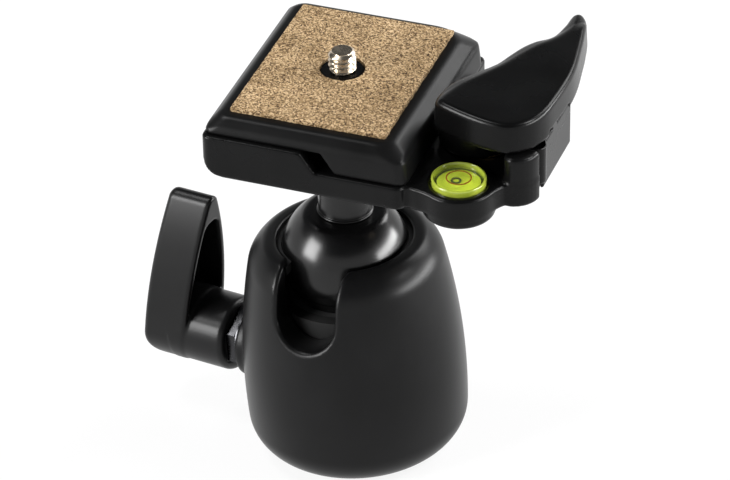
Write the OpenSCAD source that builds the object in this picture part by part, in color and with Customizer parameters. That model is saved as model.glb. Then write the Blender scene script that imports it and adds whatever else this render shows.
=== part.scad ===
// Tripod ball head with a quick-release platform.
// Millimetres, +Z up. The origin is the centre of the base face.

/* [Ball] */
// Diameter of the ball
ball_d = 30; // [28:0.5:31]
// Height of the ball's centre above the base
ball_z = 50; // [49:0.5:54]
// Gap all round the ball, and all round the liner it turns in
ball_gap = 0.08; // [0.05:0.01:0.1]

/* [Pose] */
// Sideways lean of the neck from upright, in degrees
lean = 3.5; // [0:0.5:12]
// Turn of the platform about the neck, in degrees
pan = 6; // [-20:1:20]

/* [Housing] */
// Widest diameter of the housing
housing_d = 51.8; // [49:0.2:56]
// Height at which the housing is widest
belly_z = 17.5; // [12:0.5:22]
// Radius of the bulged side, seen from the side
belly_r = 156; // [140:1:320]
// Height of the housing's flat top
housing_h = 54.9; // [54:0.1:56]
// Height at which the side starts to round inward
shoulder_z = 49; // [47:0.2:50]
// Radius that rounds the side towards the flat top
shoulder_r = 7.4; // [6.6:0.2:9]
// Radius that rounds the side into the base
foot_r = 8.6; // [6:0.2:9]
// Diameter of the bore that holds the ball and its cup
bore_d = 34.4; // [34:0.2:37]
// Diameter of the mouth that the ball looks out of
mouth_d = 31.2; // [31:0.2:32]
// Thickness of the lip above the seat ring
lip_t = 1.2; // [0.8:0.1:1.6]
// Width of the notch that the neck drops into
slot_w = 14.6; // [14.4:0.2:16.4]
// Height of the notch's round bottom
slot_z = 37.4; // [36:0.2:38.6]

/* [Ball seat] */
// Height of the seat ring that holds the ball down
seat_ring_h = 2.2; // [1.8:0.2:3]
// Wall of the liner that the ball turns in
liner_t = 1.5; // [1:0.1:1.8]
// How far below the ball's centre the liner's rim lies
liner_drop = 8.8; // [8.4:0.2:9.4]
// Height of the pressure cup's rim
cup_rim_z = 41.5; // [39:0.5:42]
// Height of the pressure cup's foot
cup_foot_z = 27.2; // [26.4:0.2:29]
// Height of the lifting piston's foot
piston_foot_z = 12.6; // [12.4:0.2:13.4]
// Thickness of the disc spring's sheet
spring_t = 1; // [0.6:0.1:1.2]
// Gap between pieces that slide past each other
slide_gap = 0.1; // [0.06:0.01:0.2]
// Gap between pieces of one assembly that stay together
fit_gap = 0.05; // [0.03:0.01:0.1]
// Gap that leaves a moving piece clear of its neighbour
clear_gap = 0.3; // [0.3:0.05:0.4]

/* [Base] */
// Height of the base plug
plug_h = 8.2; // [7:0.2:8.4]
// Outer diameter of the threaded insert for the tripod
insert_d = 13; // [11:0.5:16]
// Bore of the 3/8 inch tripod thread
tripod_bore_d = 7.94; // [7.9:0.01:8.1]
// Diameter of the two spanner holes
spanner_d = 2.4; // [1.6:0.2:3]
// Distance of the spanner holes from the axis
spanner_r = 11.5; // [10:0.5:13]
// Depth of the spanner holes
spanner_depth = 1.8; // [1:0.2:4]

/* [Locking knob] */
// Height of the knob's axis
knob_z = 18.6; // [18.2:0.2:20]
// Turn of the knob's axis away from square to the notch, in degrees
knob_turn = 5; // [0:1:15]
// Distance from the housing's axis to the knob's outer face, at the knob's axis
knob_reach = 53.5; // [50:0.5:58]
// Length of the knob's arm, from its axis to the tip
arm_l = 36.8; // [30:0.2:40]
// Half the width of the arm at its tip
arm_tip_w = 1.6; // [1.2:0.1:2.4]
// Radius of the arm's lower outer corner
heel_r = 4; // [3:0.5:6]
// Diameter of the knob's hub
hub_d = 18.2; // [17.4:0.2:20]
// Step in diameter from the knob's arm to its hub
hub_step = 0.2; // [0.1:0.05:0.4]
// Distance from the housing's axis to the hub's near face
hub_in = 31.2; // [30:0.2:33]
// Distance from the housing's axis to the arm's near face, at the hub
arm_in = 42; // [40:0.2:44]
// How much nearer the arm's tip comes than its root, on the near face
arm_slant = 6.6; // [3:0.1:8]
// Radius of the arm's outer face, seen from the front
arm_curve_r = 890; // [400:10:1200]
// Wall of the arm round its hollow back
arm_wall = 1.7; // [1.2:0.1:2.4]
// How much the arm's outer face leans in towards the tip, in degrees
arm_lean = 9; // [6:0.5:11]
// Depth of the arm's hollow
hollow_depth = 8; // [5:0.5:9]
// Height above the knob's axis at which the hollow starts
hollow_z = 10.4; // [10:0.2:14]
// Height above the knob's axis at which the hollow ends
hollow_top = 29.6; // [24:0.2:31]
// Diameter of the housing's round boss for the knob
boss_d = 18; // [16:0.2:19]
// Distance from the housing's axis to the boss's face
boss_out = 28; // [27.4:0.2:28.6]
// Diameter of the clamp screw
clamp_d = 8; // [7:0.5:8.4]
// Length of the clamp screw's cone
nose_l = 3.2; // [2:0.2:3.6]
// Distance from the housing's axis to the start of the cone
nose_x = 9; // [8:0.5:11]
// Diameter of the bush that the clamp screw runs in
bush_d = 12; // [11:0.5:13]
// Width across the flats of the knob's hexagon insert
hex_w = 13; // [11.5:0.5:14]
// Length of the hexagon insert
hex_l = 8; // [6:0.5:9]
// Diameter of the knob's washer
washer_d = 14.4; // [13:0.2:17]
// Thickness of the knob's washer
washer_t = 0.8; // [0.5:0.1:0.9]

/* [Neck] */
// Diameter of the neck
neck_d = 13.5; // [12.5:0.25:13.75]
// Distance from the ball's centre to the platform's underside
head_rise = 34.7; // [33.5:0.1:38]
// Diameter of the neck's top flange
neck_flange_d = 20; // [18:0.5:24]
// Height of the neck's flared top
flare_h = 5; // [3:0.5:6]
// Diameter of the stud that joins the neck to the ball
stud_d = 8; // [6:0.5:9]
// Length of the stud inside the ball
stud_l = 12; // [8:0.5:14]
// Diameter of the screw that holds the platform on the neck
platform_screw_d = 6; // [5:0.5:6.5]
// Diameter of that screw's head
platform_head_d = 11; // [9:0.5:12]
// Thickness of that screw's head
platform_head_t = 2.6; // [2:0.1:3]
// Width across the flats of its key's socket
key_w = 4; // [3:0.5:5]
// Depth of that socket
key_depth = 1.5; // [1:0.1:1.8]
// Length of that screw below the platform's underside
platform_screw_l = 12; // [8:0.5:14]

/* [Platform base] */
// Length of the platform base, front to back
base_l = 58.6; // [57:0.2:62]
// Distance from the neck's axis to the left side
base_left = 22.9; // [22.7:0.1:24]
// Distance from the neck's axis to the right side of the floor
base_right = 24.2; // [23.4:0.1:25]
// Thickness of the floor under the plate's tongue
floor_t = 5.5; // [4.9:0.1:5.8]
// Height of the raised left half
block_h = 10.1; // [9.4:0.1:10.5]
// Place of the raised half's edge, right of the neck's axis
ramp_x = 0.4; // [-1:0.1:1]
// Run of the ramp from that edge down to the floor
ramp_run = 3.4; // [1.9:0.1:3.9]
// Radius of the left side's lower edge
keel_r = 5.6; // [5:0.1:8]
// Radius of the base's upright corners
corner_r = 2.2; // [1:0.1:4]
// How far the arm beside the base reaches into the base's floor
wing_root = 3; // [2:0.5:4]
// How far the arm's front root lies behind the base's front
wing_in = 2; // [1:0.5:3]
// How far the arm's rear root lies in front of the base's rear
wing_back = 10; // [8:0.5:13]
// Radius of the arm's front outer corner
wing_r = 6; // [5:0.5:7]
// Radius of the arm's rear outer corner
wing_back_r = 8; // [6:0.5:10]
// Diameter of the well under the camera screw
well_d = 19; // [18:0.5:22]
// Height of the well's bottom
well_z = 4; // [3.6:0.1:4.6]

/* [Quick plate] */
// Width of the plate's top face
plate_w = 40.4; // [39:0.2:41]
// Length of the plate's top face
plate_l = 51; // [50:0.2:51.6]
// Height of the plate's top face above the platform's underside
plate_z = 13.9; // [13.7:0.1:15]
// Height of the bevel round the top face
bevel_h = 2.5; // [1.9:0.1:2.9]
// Width of that bevel
bevel_w = 2.4; // [1.6:0.1:2.6]
// Width of the bevel on the lever's side
flank_w = 3.7; // [3:0.1:4]
// How much the sides spread below the bevel
draft_w = 0.6; // [0.3:0.1:1]
// Gap between the tongue and the ramp
tongue_gap = 4.3; // [2.9:0.1:5.8]
// Radius of the plate's corners
plate_corner_r = 3; // [1:0.2:5]
// Width of the hooked rib under the plate's left half
rib_w = 4.2; // [3:0.1:5]
// Height of the rib
rib_h = 3.6; // [3:0.1:4]
// Undercut of the rib
rib_hook = 2; // [1:0.1:2.4]
// Distance from the neck's axis to the rib
rib_x = 13.6; // [12.6:0.2:14.2]
// Length of the rib
rib_l = 42; // [30:1:46]
// Width of the cork pad
cork_w = 36.8; // [33:0.2:39]
// Length of the cork pad
cork_l = 48; // [44:0.2:49]
// Thickness of the cork pad
cork_t = 1; // [0.8:0.1:2]
// Diameter of the hole in the cork
cork_hole_d = 10.3; // [9.8:0.2:12.7]

/* [Camera screw] */
// Outer diameter of the 1/4 inch camera thread
camera_d = 6.35; // [6.2:0.01:6.4]
// Length of thread above the cork
camera_l = 4.6; // [4:0.1:6]
// Diameter of the screw's plain shank
shank_d = 4.8; // [4.4:0.1:5]
// Diameter of the screw's head
camera_head_d = 16; // [12:0.5:17]
// Thickness of the screw's head
camera_head_t = 2; // [1.6:0.1:2.2]
// Width of the coin slot in the head
coin_w = 1.6; // [1.2:0.1:2]
// Depth of the coin slot
coin_depth = 1.2; // [0.8:0.1:1.3]
// Outer diameter of the clip that keeps the screw in
clip_d = 9.4; // [8.6:0.1:9.8]
// Thickness of the clip
clip_t = 0.6; // [0.4:0.1:0.8]

/* [Bubble level] */
// Distance of the level to the right of the neck's axis
level_x = 34.7; // [34.4:0.1:36]
// Distance of the level in front of the neck's axis
level_y = 21.8; // [21:0.1:23]
// Diameter of the level
vial_d = 12.6; // [11:0.1:13]
// Height of the level's rim above the floor
vial_proud = 1.3; // [0.8:0.1:1.6]
// Depth of the level's pocket in the floor
vial_depth = 4.6; // [3:0.1:5.2]
// Wall of the level's rim
vial_wall = 1.1; // [0.8:0.1:1.5]
// Radius of the lobe that carries the level
lobe_r = 8.2; // [7.8:0.1:9]
// How far the lobe hangs below the platform's underside
lobe_drop = 2.1; // [1:0.1:2.9]
// Diameter of the bubble
bubble_d = 2.3; // [1.8:0.1:2.9]
// Diameter of the ring printed in the level
ring_d = 5.7; // [4.9:0.1:6.8]
// Thickness of that ring
ring_t = 0.3; // [0.2:0.05:0.4]

/* [Clamp lever] */
// Distance of the lever's pivot to the right of the neck's axis
pivot_x = 35.1; // [34.9:0.1:36.1]
// Distance of the lever's pivot in front of the neck's axis
pivot_y = 4.9; // [3.9:0.5:5.8]
// Height of the wall that the lever lies on
pedestal_h = 12.1; // [11.7:0.1:12.7]
// Distance of that wall's outer face to the right of the neck's axis
wing_x = 50.7; // [49.7:0.1:52.6]
// Thickness of the lever
lever_t = 7.4; // [5.8:0.1:8.8]
// Radius that rounds the lever's upper edge
lever_edge = 2; // [1:0.1:2.4]
// Eccentricity of the lever's cam
cam_throw = 2; // [1.2:0.1:2.1]
// Diameter of the lever's pivot screw
pivot_d = 6; // [5:0.5:7]
// Diameter of the pivot screw's head
pivot_head_d = 10; // [9:0.5:11]
// Thickness of the pivot screw's head
pivot_head_t = 1.8; // [1.2:0.1:2.2]
// Length of the pivot screw in the lever, above the wall's top
pivot_up = 4; // [3:0.5:5]
// Wire of the lever's closing spring
lever_wire = 1; // [0.8:0.1:1.2]
// Thickness of the washer under the cam
cam_washer_t = 0.4; // [0.3:0.05:0.6]

/* [Safety catch] */
// Thickness of the catch's plate
catch_t = 1.9; // [1.5:0.1:2.4]
// Length of the catch's plate
catch_l = 20; // [15.6:0.5:20.5]
// Distance in front of the neck's axis at which the catch starts
catch_y = 14.2; // [13.6:0.1:14.4]
// Diameter of the catch's pin
catch_pin_d = 2; // [1.6:0.1:2.4]
// Height at which the catch's knuckle starts
knuckle_z = 2.6; // [2:0.1:4]
// Height of the catch's knuckle
knuckle_h = 6; // [4:0.2:6.4]
// Diameter of the catch's knuckle
knuckle_d = 4.6; // [4:0.1:5]
// Length of the catch's nose
nose_w = 3; // [2:0.1:3.4]
// How far the nose stands up into the lever's groove
nose_h = 1.6; // [1:0.1:2]
// Room for the nose as the catch swings out
nose_swing = 3.6; // [3.4:0.1:5]
// Outer diameter of the catch's spring
catch_spring_d = 3.6; // [3.4:0.1:3.8]

/* [Hidden] */

$fn = 96;
eps = 0.5;
ball_r = ball_d / 2;
bore_r = bore_d / 2;

// Points of an arc about [x, y], from angle a to angle b in n steps.
function arc(x, y, r, a, b, n) =
    [for (i = [0:n]) [x + r * cos(a + (b - a) * i / n), y + r * sin(a + (b - a) * i / n)]];

// Centre of a circle of radius r that touches the bulged side from inside
// and reaches the height z with its centre.
function side_angle(z, r) = asin((z - belly_z) / (belly_r - r));
function side_centre(z, r) =
    [housing_d / 2 - belly_r + (belly_r - r) * cos(side_angle(z, r)), z];

foot_c = side_centre(foot_r, foot_r);
shoulder_c = side_centre(shoulder_z, shoulder_r);
belly_c = [housing_d / 2 - belly_r, belly_z];
seat_top = housing_h - lip_t - fit_gap;
slot_r = slot_w / 2;
slot_c = slot_z + slot_r;

// The outer radii of the nested round seats below the ball.
liner_in = ball_r + ball_gap;
liner_out = liner_in + liner_t;
cup_seat = liner_out + ball_gap;
inner_r = bore_r - slide_gap;

// Heights above the ball's centre.
neck_z = sqrt(pow(ball_r, 2) - pow(neck_d / 2 + 0.2, 2));

// Places along the knob's axis, outward from the housing's axis.
washer_x = boss_out + 0.15;
hex_x = washer_x + washer_t + 0.15;
screw_end = arm_in + 2.5;
heel_u = heel_r - hub_d / 2;
heel_out = outer_face(heel_u, arm_curve_r - heel_r);

// Heights above the platform's underside.
plate_foot = block_h + 0.1;
tongue_foot = floor_t + 0.1;
bevel_z = plate_z - bevel_h;
cork_top = plate_z + cork_t;
lever_z = pedestal_h + clear_gap;
cam_z = floor_t + cam_washer_t + 0.15;
vial_top = floor_t + vial_proud;
vial_foot = floor_t - vial_depth;
vial_r = vial_d / 2;
vial_in = vial_r - vial_wall;
fluid_top = vial_top - 1.4;

// The clamped faces of the plate and the base.
plate_half_w = plate_w / 2;
plate_half_l = plate_l / 2;
half_l = base_l / 2;
well_r = well_d / 2;
plate_right = plate_half_w + flank_w + draft_w;
plate_left = plate_half_w + bevel_w;
cam_r = pivot_x - cam_throw - plate_right - clear_gap;
cam_well_r = cam_r + cam_throw + 0.5;
tongue_x = ramp_x + ramp_run + tongue_gap;
catch_in = wing_x - catch_t;
catch_pivot = [catch_in + 0.2, -catch_y + knuckle_d / 2 + 0.4];

// Outline of the clamp lever, seen from above, relative to its pivot.
lever_points = [
    [-10.8, -2.9], [-10, -7.5], [-7.2, -9.9], [-0.5, -12.3], [5.8, -13.8],
    [10.3, -13.4], [13.9, -10.2], [15.9, -5.3], [16.6, 1.9], [16.8, 9.8],
    [16.4, 15.6], [15.4, 21.9], [14.2, 28.5], [12.6, 35], [10.6, 38.3],
    [8.2, 37.4], [7.7, 32.6], [6.5, 27], [3.5, 24], [1.4, 20.7], [-0.3, 16.4],
    [-2.1, 12.1], [-5.8, 7.8], [-9.6, 2.3]
];

// A closed curve through the points p, with k points to each stretch.
function smooth(p, k) = let (n = len(p)) [
    for (i = [0:n - 1], j = [0:k - 1])
        let (
            t = j / k,
            a = p[(i + n - 1) % n], b = p[i], c = p[(i + 1) % n], d = p[(i + 2) % n]
        )
        0.5 * (2 * b + (c - a) * t + (2 * a - 5 * b + 4 * c - d) * t * t
            + (3 * b - a - 3 * c + d) * t * t * t)
];

// The outline p moved inward by the distance d.
function inset(p, d) = let (n = len(p)) [
    for (i = [0:n - 1])
        let (e = p[(i + 1) % n] - p[(i + n - 1) % n])
        p[i] + d * [-e[1], e[0]] / norm(e)
];

// A plate of outline p from z to z + t, its upper edge rounded to r.
module rounded_plate(p, z, t, r, steps = 4) {
    n = len(p);
    translate([0, 0, z]) linear_extrude(t - r) polygon(p);
    rings = concat(
        [[0, z + (t - r) / 3]],
        [for (i = [0:steps]) [r * (1 - cos(90 * i / steps)), z + t - r + r * sin(90 * i / steps)]]
    );
    m = len(rings);
    polyhedron(
        points = [for (g = rings) each [for (q = inset(p, g[0])) [q[0], q[1], g[1]]]],
        faces = concat(
            [[for (i = [0:n - 1]) i]],
            [for (j = [0:m - 2], i = [0:n - 1]) [
                j * n + i, (j + 1) * n + i, (j + 1) * n + (i + 1) % n, j * n + (i + 1) % n
            ]],
            [[for (i = [n - 1:-1:0]) (m - 1) * n + i]]
        )
    );
}

// A ring between the radii a and b, from z = 0 to z = h.
module ring(a, b, h) {
    difference() {
        cylinder(h = h, r = b);
        translate([0, 0, -eps]) cylinder(h = h + 2 * eps, r = a);
    }
}

// Puts a piece on the neck's axis, with z = 0 at the ball's centre.
module on_ball() translate([0, 0, ball_z]) rotate([0, lean, 0]) children();

// Puts a piece in the platform's frame, with z = 0 at its underside.
module on_platform() on_ball() translate([0, 0, head_rise]) rotate([0, 0, pan]) children();

// Puts a piece on the knob's axis: +Z of the piece points outward.
module on_knob() translate([0, 0, knob_z]) rotate([0, 0, 180 - knob_turn]) rotate([0, 90, 0])
    children();

// Outline of the housing's solid form, right of its axis.
function housing_outline() = concat(
    [[0, 0]],
    arc(foot_c[0], foot_c[1], foot_r, -90, side_angle(foot_r, foot_r), 14),
    arc(belly_c[0], belly_c[1], belly_r,
        side_angle(foot_r, foot_r) + 1,
        side_angle(shoulder_z, shoulder_r) - 1, 8),
    arc(shoulder_c[0], shoulder_c[1], shoulder_r,
        side_angle(shoulder_z, shoulder_r), asin((housing_h - shoulder_z) / shoulder_r), 14),
    [[0, housing_h]]
);

// The notch that lets the neck drop: round below, open above.
module neck_slot(w, y0) {
    translate([0, -housing_d, slot_c]) rotate([-90, 0, 0]) cylinder(h = housing_d - y0, d = w);
    translate([-w / 2, -housing_d, slot_c]) cube([w, housing_d - y0, housing_h]);
}

module housing() color([0.13, 0.13, 0.14]) difference() {
    union() {
        rotate_extrude() polygon(housing_outline());
        on_knob() cylinder(h = boss_out, d = boss_d);
    }
    translate([0, 0, -eps]) cylinder(h = housing_h - lip_t + eps, r = bore_r);
    cylinder(h = housing_h + eps, d = mouth_d);
    neck_slot(slot_w, ball_r - 3);
    on_knob() cylinder(h = boss_out + eps, r = bush_d / 2 + fit_gap);
}

module screw_bush() color([0.72, 0.6, 0.32]) on_knob() translate([0, 0, bore_r + clear_gap])
    ring(clamp_d / 2 + fit_gap, bush_d / 2, boss_out - bore_r - clear_gap - 0.2);

module base_plug() color([0.16, 0.16, 0.17]) difference() {
    cylinder(h = plug_h, r = inner_r);
    translate([0, 0, -eps]) cylinder(h = plug_h + 2 * eps, r = insert_d / 2 + fit_gap);
    for (side = [-1, 1])
        translate([side * spanner_r, 0, -eps]) cylinder(h = spanner_depth + eps, d = spanner_d);
}

module thread_insert() color([0.75, 0.75, 0.77])
    ring(tripod_bore_d / 2, insert_d / 2, plug_h);

module disc_spring() color([0.6, 0.6, 0.62]) rotate_extrude() polygon([
    [insert_d / 2 + 1.5, piston_foot_z - clear_gap - spring_t],
    [inner_r - 1, plug_h + 0.2],
    [inner_r - 1, plug_h + 0.2 + spring_t],
    [insert_d / 2 + 1.5, piston_foot_z - clear_gap]
]);

module seat_ring() color([0.2, 0.2, 0.2]) difference() {
    translate([0, 0, seat_top - seat_ring_h]) cylinder(h = seat_ring_h, r = inner_r);
    translate([0, 0, ball_z]) sphere(r = liner_in);
    neck_slot(slot_w, 0);
}

module lift_piston() color([0.7, 0.7, 0.72]) difference() {
    translate([0, 0, piston_foot_z])
        cylinder(h = cup_foot_z - clear_gap - piston_foot_z, r = inner_r);
    on_knob() {
        cylinder(h = bore_r + eps, r = clamp_d / 2 + 0.6);
    }
}

module pressure_cup() color([0.85, 0.84, 0.8]) difference() {
    translate([0, 0, cup_foot_z]) cylinder(h = cup_rim_z - cup_foot_z, r = inner_r);
    translate([0, 0, ball_z]) sphere(r = cup_seat);
}

module liner_cup() color([0.25, 0.25, 0.25]) difference() {
    translate([0, 0, ball_z]) sphere(r = liner_out);
    translate([0, 0, ball_z]) sphere(r = liner_in);
    translate([0, 0, ball_z - liner_drop]) cylinder(h = housing_d, r = housing_d);
}

module ball() color([0.06, 0.06, 0.07]) on_ball() difference() {
    sphere(r = ball_r);
    translate([0, 0, neck_z]) cylinder(h = ball_r, r = ball_r);
    translate([0, 0, neck_z - stud_l]) cylinder(h = stud_l + eps, r = stud_d / 2 + fit_gap);
}

module neck_post() color([0.08, 0.08, 0.09]) on_ball() difference() {
    union() {
        translate([0, 0, neck_z + 0.1 - stud_l]) cylinder(h = stud_l + 1, d = stud_d);
        translate([0, 0, neck_z + 0.1])
            cylinder(h = head_rise - neck_z - 0.15, d = neck_d);
        translate([0, 0, head_rise - 0.05 - flare_h])
            cylinder(h = flare_h, d1 = neck_d, d2 = neck_flange_d);
    }
    translate([0, 0, head_rise - platform_screw_l - 0.5])
        cylinder(h = platform_screw_l + 1, r = platform_screw_d / 2 + fit_gap);
}

module clamp_screw() color([0.8, 0.8, 0.82]) on_knob() {
    translate([0, 0, nose_x]) cylinder(h = screw_end - nose_x, d = clamp_d);
    translate([0, 0, nose_x - nose_l]) cylinder(h = nose_l, d1 = clamp_d - 2 * nose_l, d2 = clamp_d);
}

// A hexagonal bar with the width w across its flats.
module hexagon(w, h) cylinder(h = h, r = w / 2 / cos(30), $fn = 6);

module knob_insert() color([0.78, 0.78, 0.8]) on_knob() translate([0, 0, hex_x]) difference() {
    hexagon(hex_w, hex_l);
    translate([0, 0, -eps]) cylinder(h = hex_l + 2 * eps, r = clamp_d / 2 + fit_gap);
}

module knob_washer() color([0.5, 0.5, 0.52])
    on_knob() translate([0, 0, washer_x]) ring(clamp_d / 2 + fit_gap, washer_d / 2, washer_t);

// Radius and centre of the arc from the hub's side to the arm's tip, where
// the arc leaves the hub straight upward.
function flank_r(r, w, l) = ((r - w) * (r - w) + l * l) / (2 * (r - w));

// Outline of the arm in the plane across the knob's axis, as [up, across]:
// round at the hub, and drawn in to the tip by two flat arcs.
function arm_outline(r, w, l) = let (f = flank_r(r, w, l), a = asin(l / f)) concat(
    arc(0, 0, r, 90, 270, 24),
    [for (i = [1:16]) [f * sin(a * i / 16), -(r - f + f * cos(a * i / 16))]],
    [for (i = [16:-1:1]) [f * sin(a * i / 16), r - f + f * cos(a * i / 16)]]
);

// Place of the arm's outer face at the height u, on a circle of radius r
// about the same centre.
function outer_face(u, r) = knob_reach - arm_curve_r * cos(arm_lean)
    + sqrt(r * r - pow(u + arm_curve_r * sin(arm_lean), 2));

// Outline of the arm seen from the front, as [up, outward].
function arm_side() = concat(
    [[-hub_d, arm_in + arm_slant * hub_d / arm_l], [arm_l, arm_in - arm_slant]],
    [for (i = [12:-1:0]) let (u = arm_l * i / 12) [u, outer_face(u, arm_curve_r)]],
    arc(heel_u, heel_out, heel_r, 90 - arm_lean, 180, 6),
    [[-hub_d, heel_out]]
);

// The piece's own X points down and its Z outward, so "up" is drawn as -X.
module knob_lever() color([0.11, 0.11, 0.12]) on_knob() difference() {
    union() {
        intersection() {
            linear_extrude(heel_out + heel_r + eps)
                mirror([1, 0]) polygon(arm_outline(hub_d / 2, arm_tip_w, arm_l));
            translate([0, hub_d, 0]) rotate([90, 0, 0])
                linear_extrude(2 * hub_d) mirror([1, 0]) polygon(arm_side());
        }
        translate([0, 0, hub_in]) cylinder(h = arm_in - hub_in + 3, d = hub_d - hub_step);
    }
    translate([0, 0, hub_in - eps]) hexagon(hex_w + 2 * fit_gap, hex_x + hex_l + 0.1 - hub_in + eps);
    translate([0, 0, hub_in]) cylinder(h = screw_end + 0.2 - hub_in, r = clamp_d / 2 + fit_gap);
    intersection() {
        linear_extrude(arm_in - arm_slant / 2 + hollow_depth) mirror([1, 0])
            polygon(arm_outline(hub_d / 2 - arm_wall, arm_tip_w, arm_l));
        translate([-hollow_top, -hub_d, 0]) cube([hollow_top - hollow_z, 2 * hub_d, housing_d]);
    }
}

// Section of the base across its length: a floor on the right and a raised
// half on the left.
function base_section() = concat(
    arc(-base_left + keel_r, keel_r, keel_r, 180, 270, 8),
    [
        [base_right, 0], [base_right, floor_t], [ramp_x + ramp_run, floor_t],
        [ramp_x, block_h],
        [-base_left, block_h]
    ]
);

// Section of the hooked rib, grown by the gap g on every side.
function rib_section(g) = [
    [-rib_x + g, plate_foot + 0.5], [-rib_x + g, plate_foot - rib_h - g],
    [-rib_x - rib_w - rib_hook - g, plate_foot - rib_h - g],
    [-rib_x - rib_w - rib_hook - g, plate_foot - rib_h + 0.6],
    [-rib_x - rib_w - g, plate_foot - 0.4], [-rib_x - rib_w - g, plate_foot + 0.5]
];

// The rib of length l, or with a gap g the groove that holds it.
module plate_rib(l, g = 0) translate([0, l / 2, 0]) rotate([90, 0, 0]) linear_extrude(l)
    polygon(rib_section(g));

// A plate of length l, width from x0 to x1 and corner radius r.
module rounded_floor(x0, x1, l, r, h) linear_extrude(h) union() {
    translate([x0 + r, -l / 2]) square([x1 - x0 - 2 * r, l]);
    translate([x0, -l / 2 + r]) square([x1 - x0, l - 2 * r]);
    for (x = [x0 + r, x1 - r], y = [-l / 2 + r, l / 2 - r]) translate([x, y]) circle(r);
}

// Outline of the arm that carries the level and the lever.
wing_front = -level_y + 1.8;
wing_points = concat(
    [
        [base_right - wing_root, -half_l + wing_in],
        [base_right + wing_root - 0.4, -half_l + wing_in - 0.4],
        [level_x, -level_y - lobe_r / 2]
    ],
    arc(wing_x - wing_r, wing_front + wing_r, wing_r, -90, 0, 8),
    arc(wing_x - wing_back_r, wing_in, wing_back_r, 0, 50, 6),
    [
        [base_right + wing_back_r, half_l - wing_back],
        [base_right - wing_root, half_l - wing_back + wing_in * 2]
    ]
);

module platform_base() color([0.13, 0.13, 0.14]) on_platform() difference() {
    union() {
        intersection() {
            translate([0, half_l, 0]) rotate([90, 0, 0]) linear_extrude(base_l)
                polygon(base_section());
            rounded_floor(-base_left - 1, base_right, base_l, corner_r, block_h + eps);
        }
        linear_extrude(floor_t) polygon(wing_points);
        linear_extrude(pedestal_h) intersection() {
            polygon(wing_points);
            translate([level_x + lobe_r + 0.8, -half_l]) square([wing_x, base_l]);
        }
        translate([level_x, -level_y, -lobe_drop]) cylinder(h = floor_t + lobe_drop, r = lobe_r);
    }
    plate_rib(rib_l, clear_gap);
    translate([pivot_x, -pivot_y, floor_t]) cylinder(h = pedestal_h, r = cam_well_r);
    translate([pivot_x, -pivot_y, -eps]) cylinder(h = floor_t + 2 * eps, r = pivot_d / 2 + fit_gap);
    translate([pivot_x, -pivot_y, -eps])
        cylinder(h = pivot_head_t + eps + 0.2, r = pivot_head_d / 2 + 0.2);
    translate([level_x, -level_y, vial_foot - 0.05])
        cylinder(h = vial_depth + eps, r = vial_r + fit_gap);
    translate([0, 0, well_z]) cylinder(h = block_h, r = well_r);
    translate([0, 0, well_z - platform_head_t])
        cylinder(h = block_h, r = platform_head_d / 2 + 0.2);
    translate([0, 0, -eps]) cylinder(h = block_h, r = platform_screw_d / 2 + 0.2);
    // Room for the safety catch, its knuckle, pin and spring.
    translate([catch_in - clear_gap, catch_pivot[1] - knuckle_d / 2 - clear_gap, -eps])
        cube([wing_x, catch_l + knuckle_d / 2 + 2 * clear_gap + 1, pedestal_h + 2 * eps]);
    translate([catch_pivot[0], catch_pivot[1], knuckle_z - clear_gap])
        cylinder(h = pedestal_h, r = knuckle_d / 2 + clear_gap);
    translate([catch_pivot[0], catch_pivot[1], 1])
        cylinder(h = pedestal_h, r = catch_pin_d / 2 + fit_gap);
}

module platform_screw() color([0.7, 0.7, 0.72]) on_platform() difference() {
    union() {
        translate([0, 0, well_z - platform_head_t + 0.05])
            cylinder(h = platform_head_t, d = platform_head_d);
        translate([0, 0, -platform_screw_l])
            cylinder(h = platform_screw_l + well_z - platform_head_t + 0.1, d = platform_screw_d);
    }
    translate([0, 0, well_z - key_depth]) hexagon(key_w, key_depth + eps);
}

module vial_cup() color([0.8, 0.86, 0.5, 0.6])
    on_platform() translate([level_x, -level_y, vial_foot]) difference() {
        cylinder(h = vial_top - vial_foot, r = vial_r);
        translate([0, 0, vial_wall]) cylinder(h = vial_top, r = vial_in);
    }

module vial_fluid() color([0.7, 0.85, 0.15]) on_platform()
    translate([level_x, -level_y, vial_foot + vial_wall + fit_gap])
    cylinder(h = fluid_top - vial_foot - vial_wall - fit_gap, r = vial_in - fit_gap);

module vial_ring() color([0.5, 0.2, 0.1]) on_platform()
    translate([level_x, -level_y, fluid_top + 0.03]) ring(ring_d / 2 - ring_t, ring_d / 2, 0.12);

module vial_bubble() color([0.95, 1, 0.8]) on_platform()
    translate([level_x - 0.7, -level_y + 0.2, fluid_top + 0.03])
    cylinder(h = 0.2, d = bubble_d);

module vial_lens() color([0.9, 0.95, 0.8, 0.4]) on_platform()
    translate([level_x, -level_y, fluid_top + 0.3])
    cylinder(h = vial_top - fluid_top - 0.4, r = vial_in - fit_gap);

// Section of the plate across its length: a thin left half, and a tongue on
// the right that reaches down to the floor.
function plate_section() = [
    [plate_half_w, plate_z], [-plate_half_w, plate_z],
    [-plate_half_w - bevel_w, bevel_z], [-plate_half_w - bevel_w, plate_foot],
    [tongue_x - ramp_run, plate_foot], [tongue_x, tongue_foot],
    [plate_right, tongue_foot], [plate_right - draft_w, bevel_z]
];

// Section of the plate along its length, the same at both ends.
function plate_end_section() = [
    [plate_half_l, plate_z], [-plate_half_l, plate_z],
    [-plate_half_l - bevel_w, bevel_z], [-plate_half_l - bevel_w - draft_w, 0],
    [plate_half_l + bevel_w + draft_w, 0], [plate_half_l + bevel_w, bevel_z]
];

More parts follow.
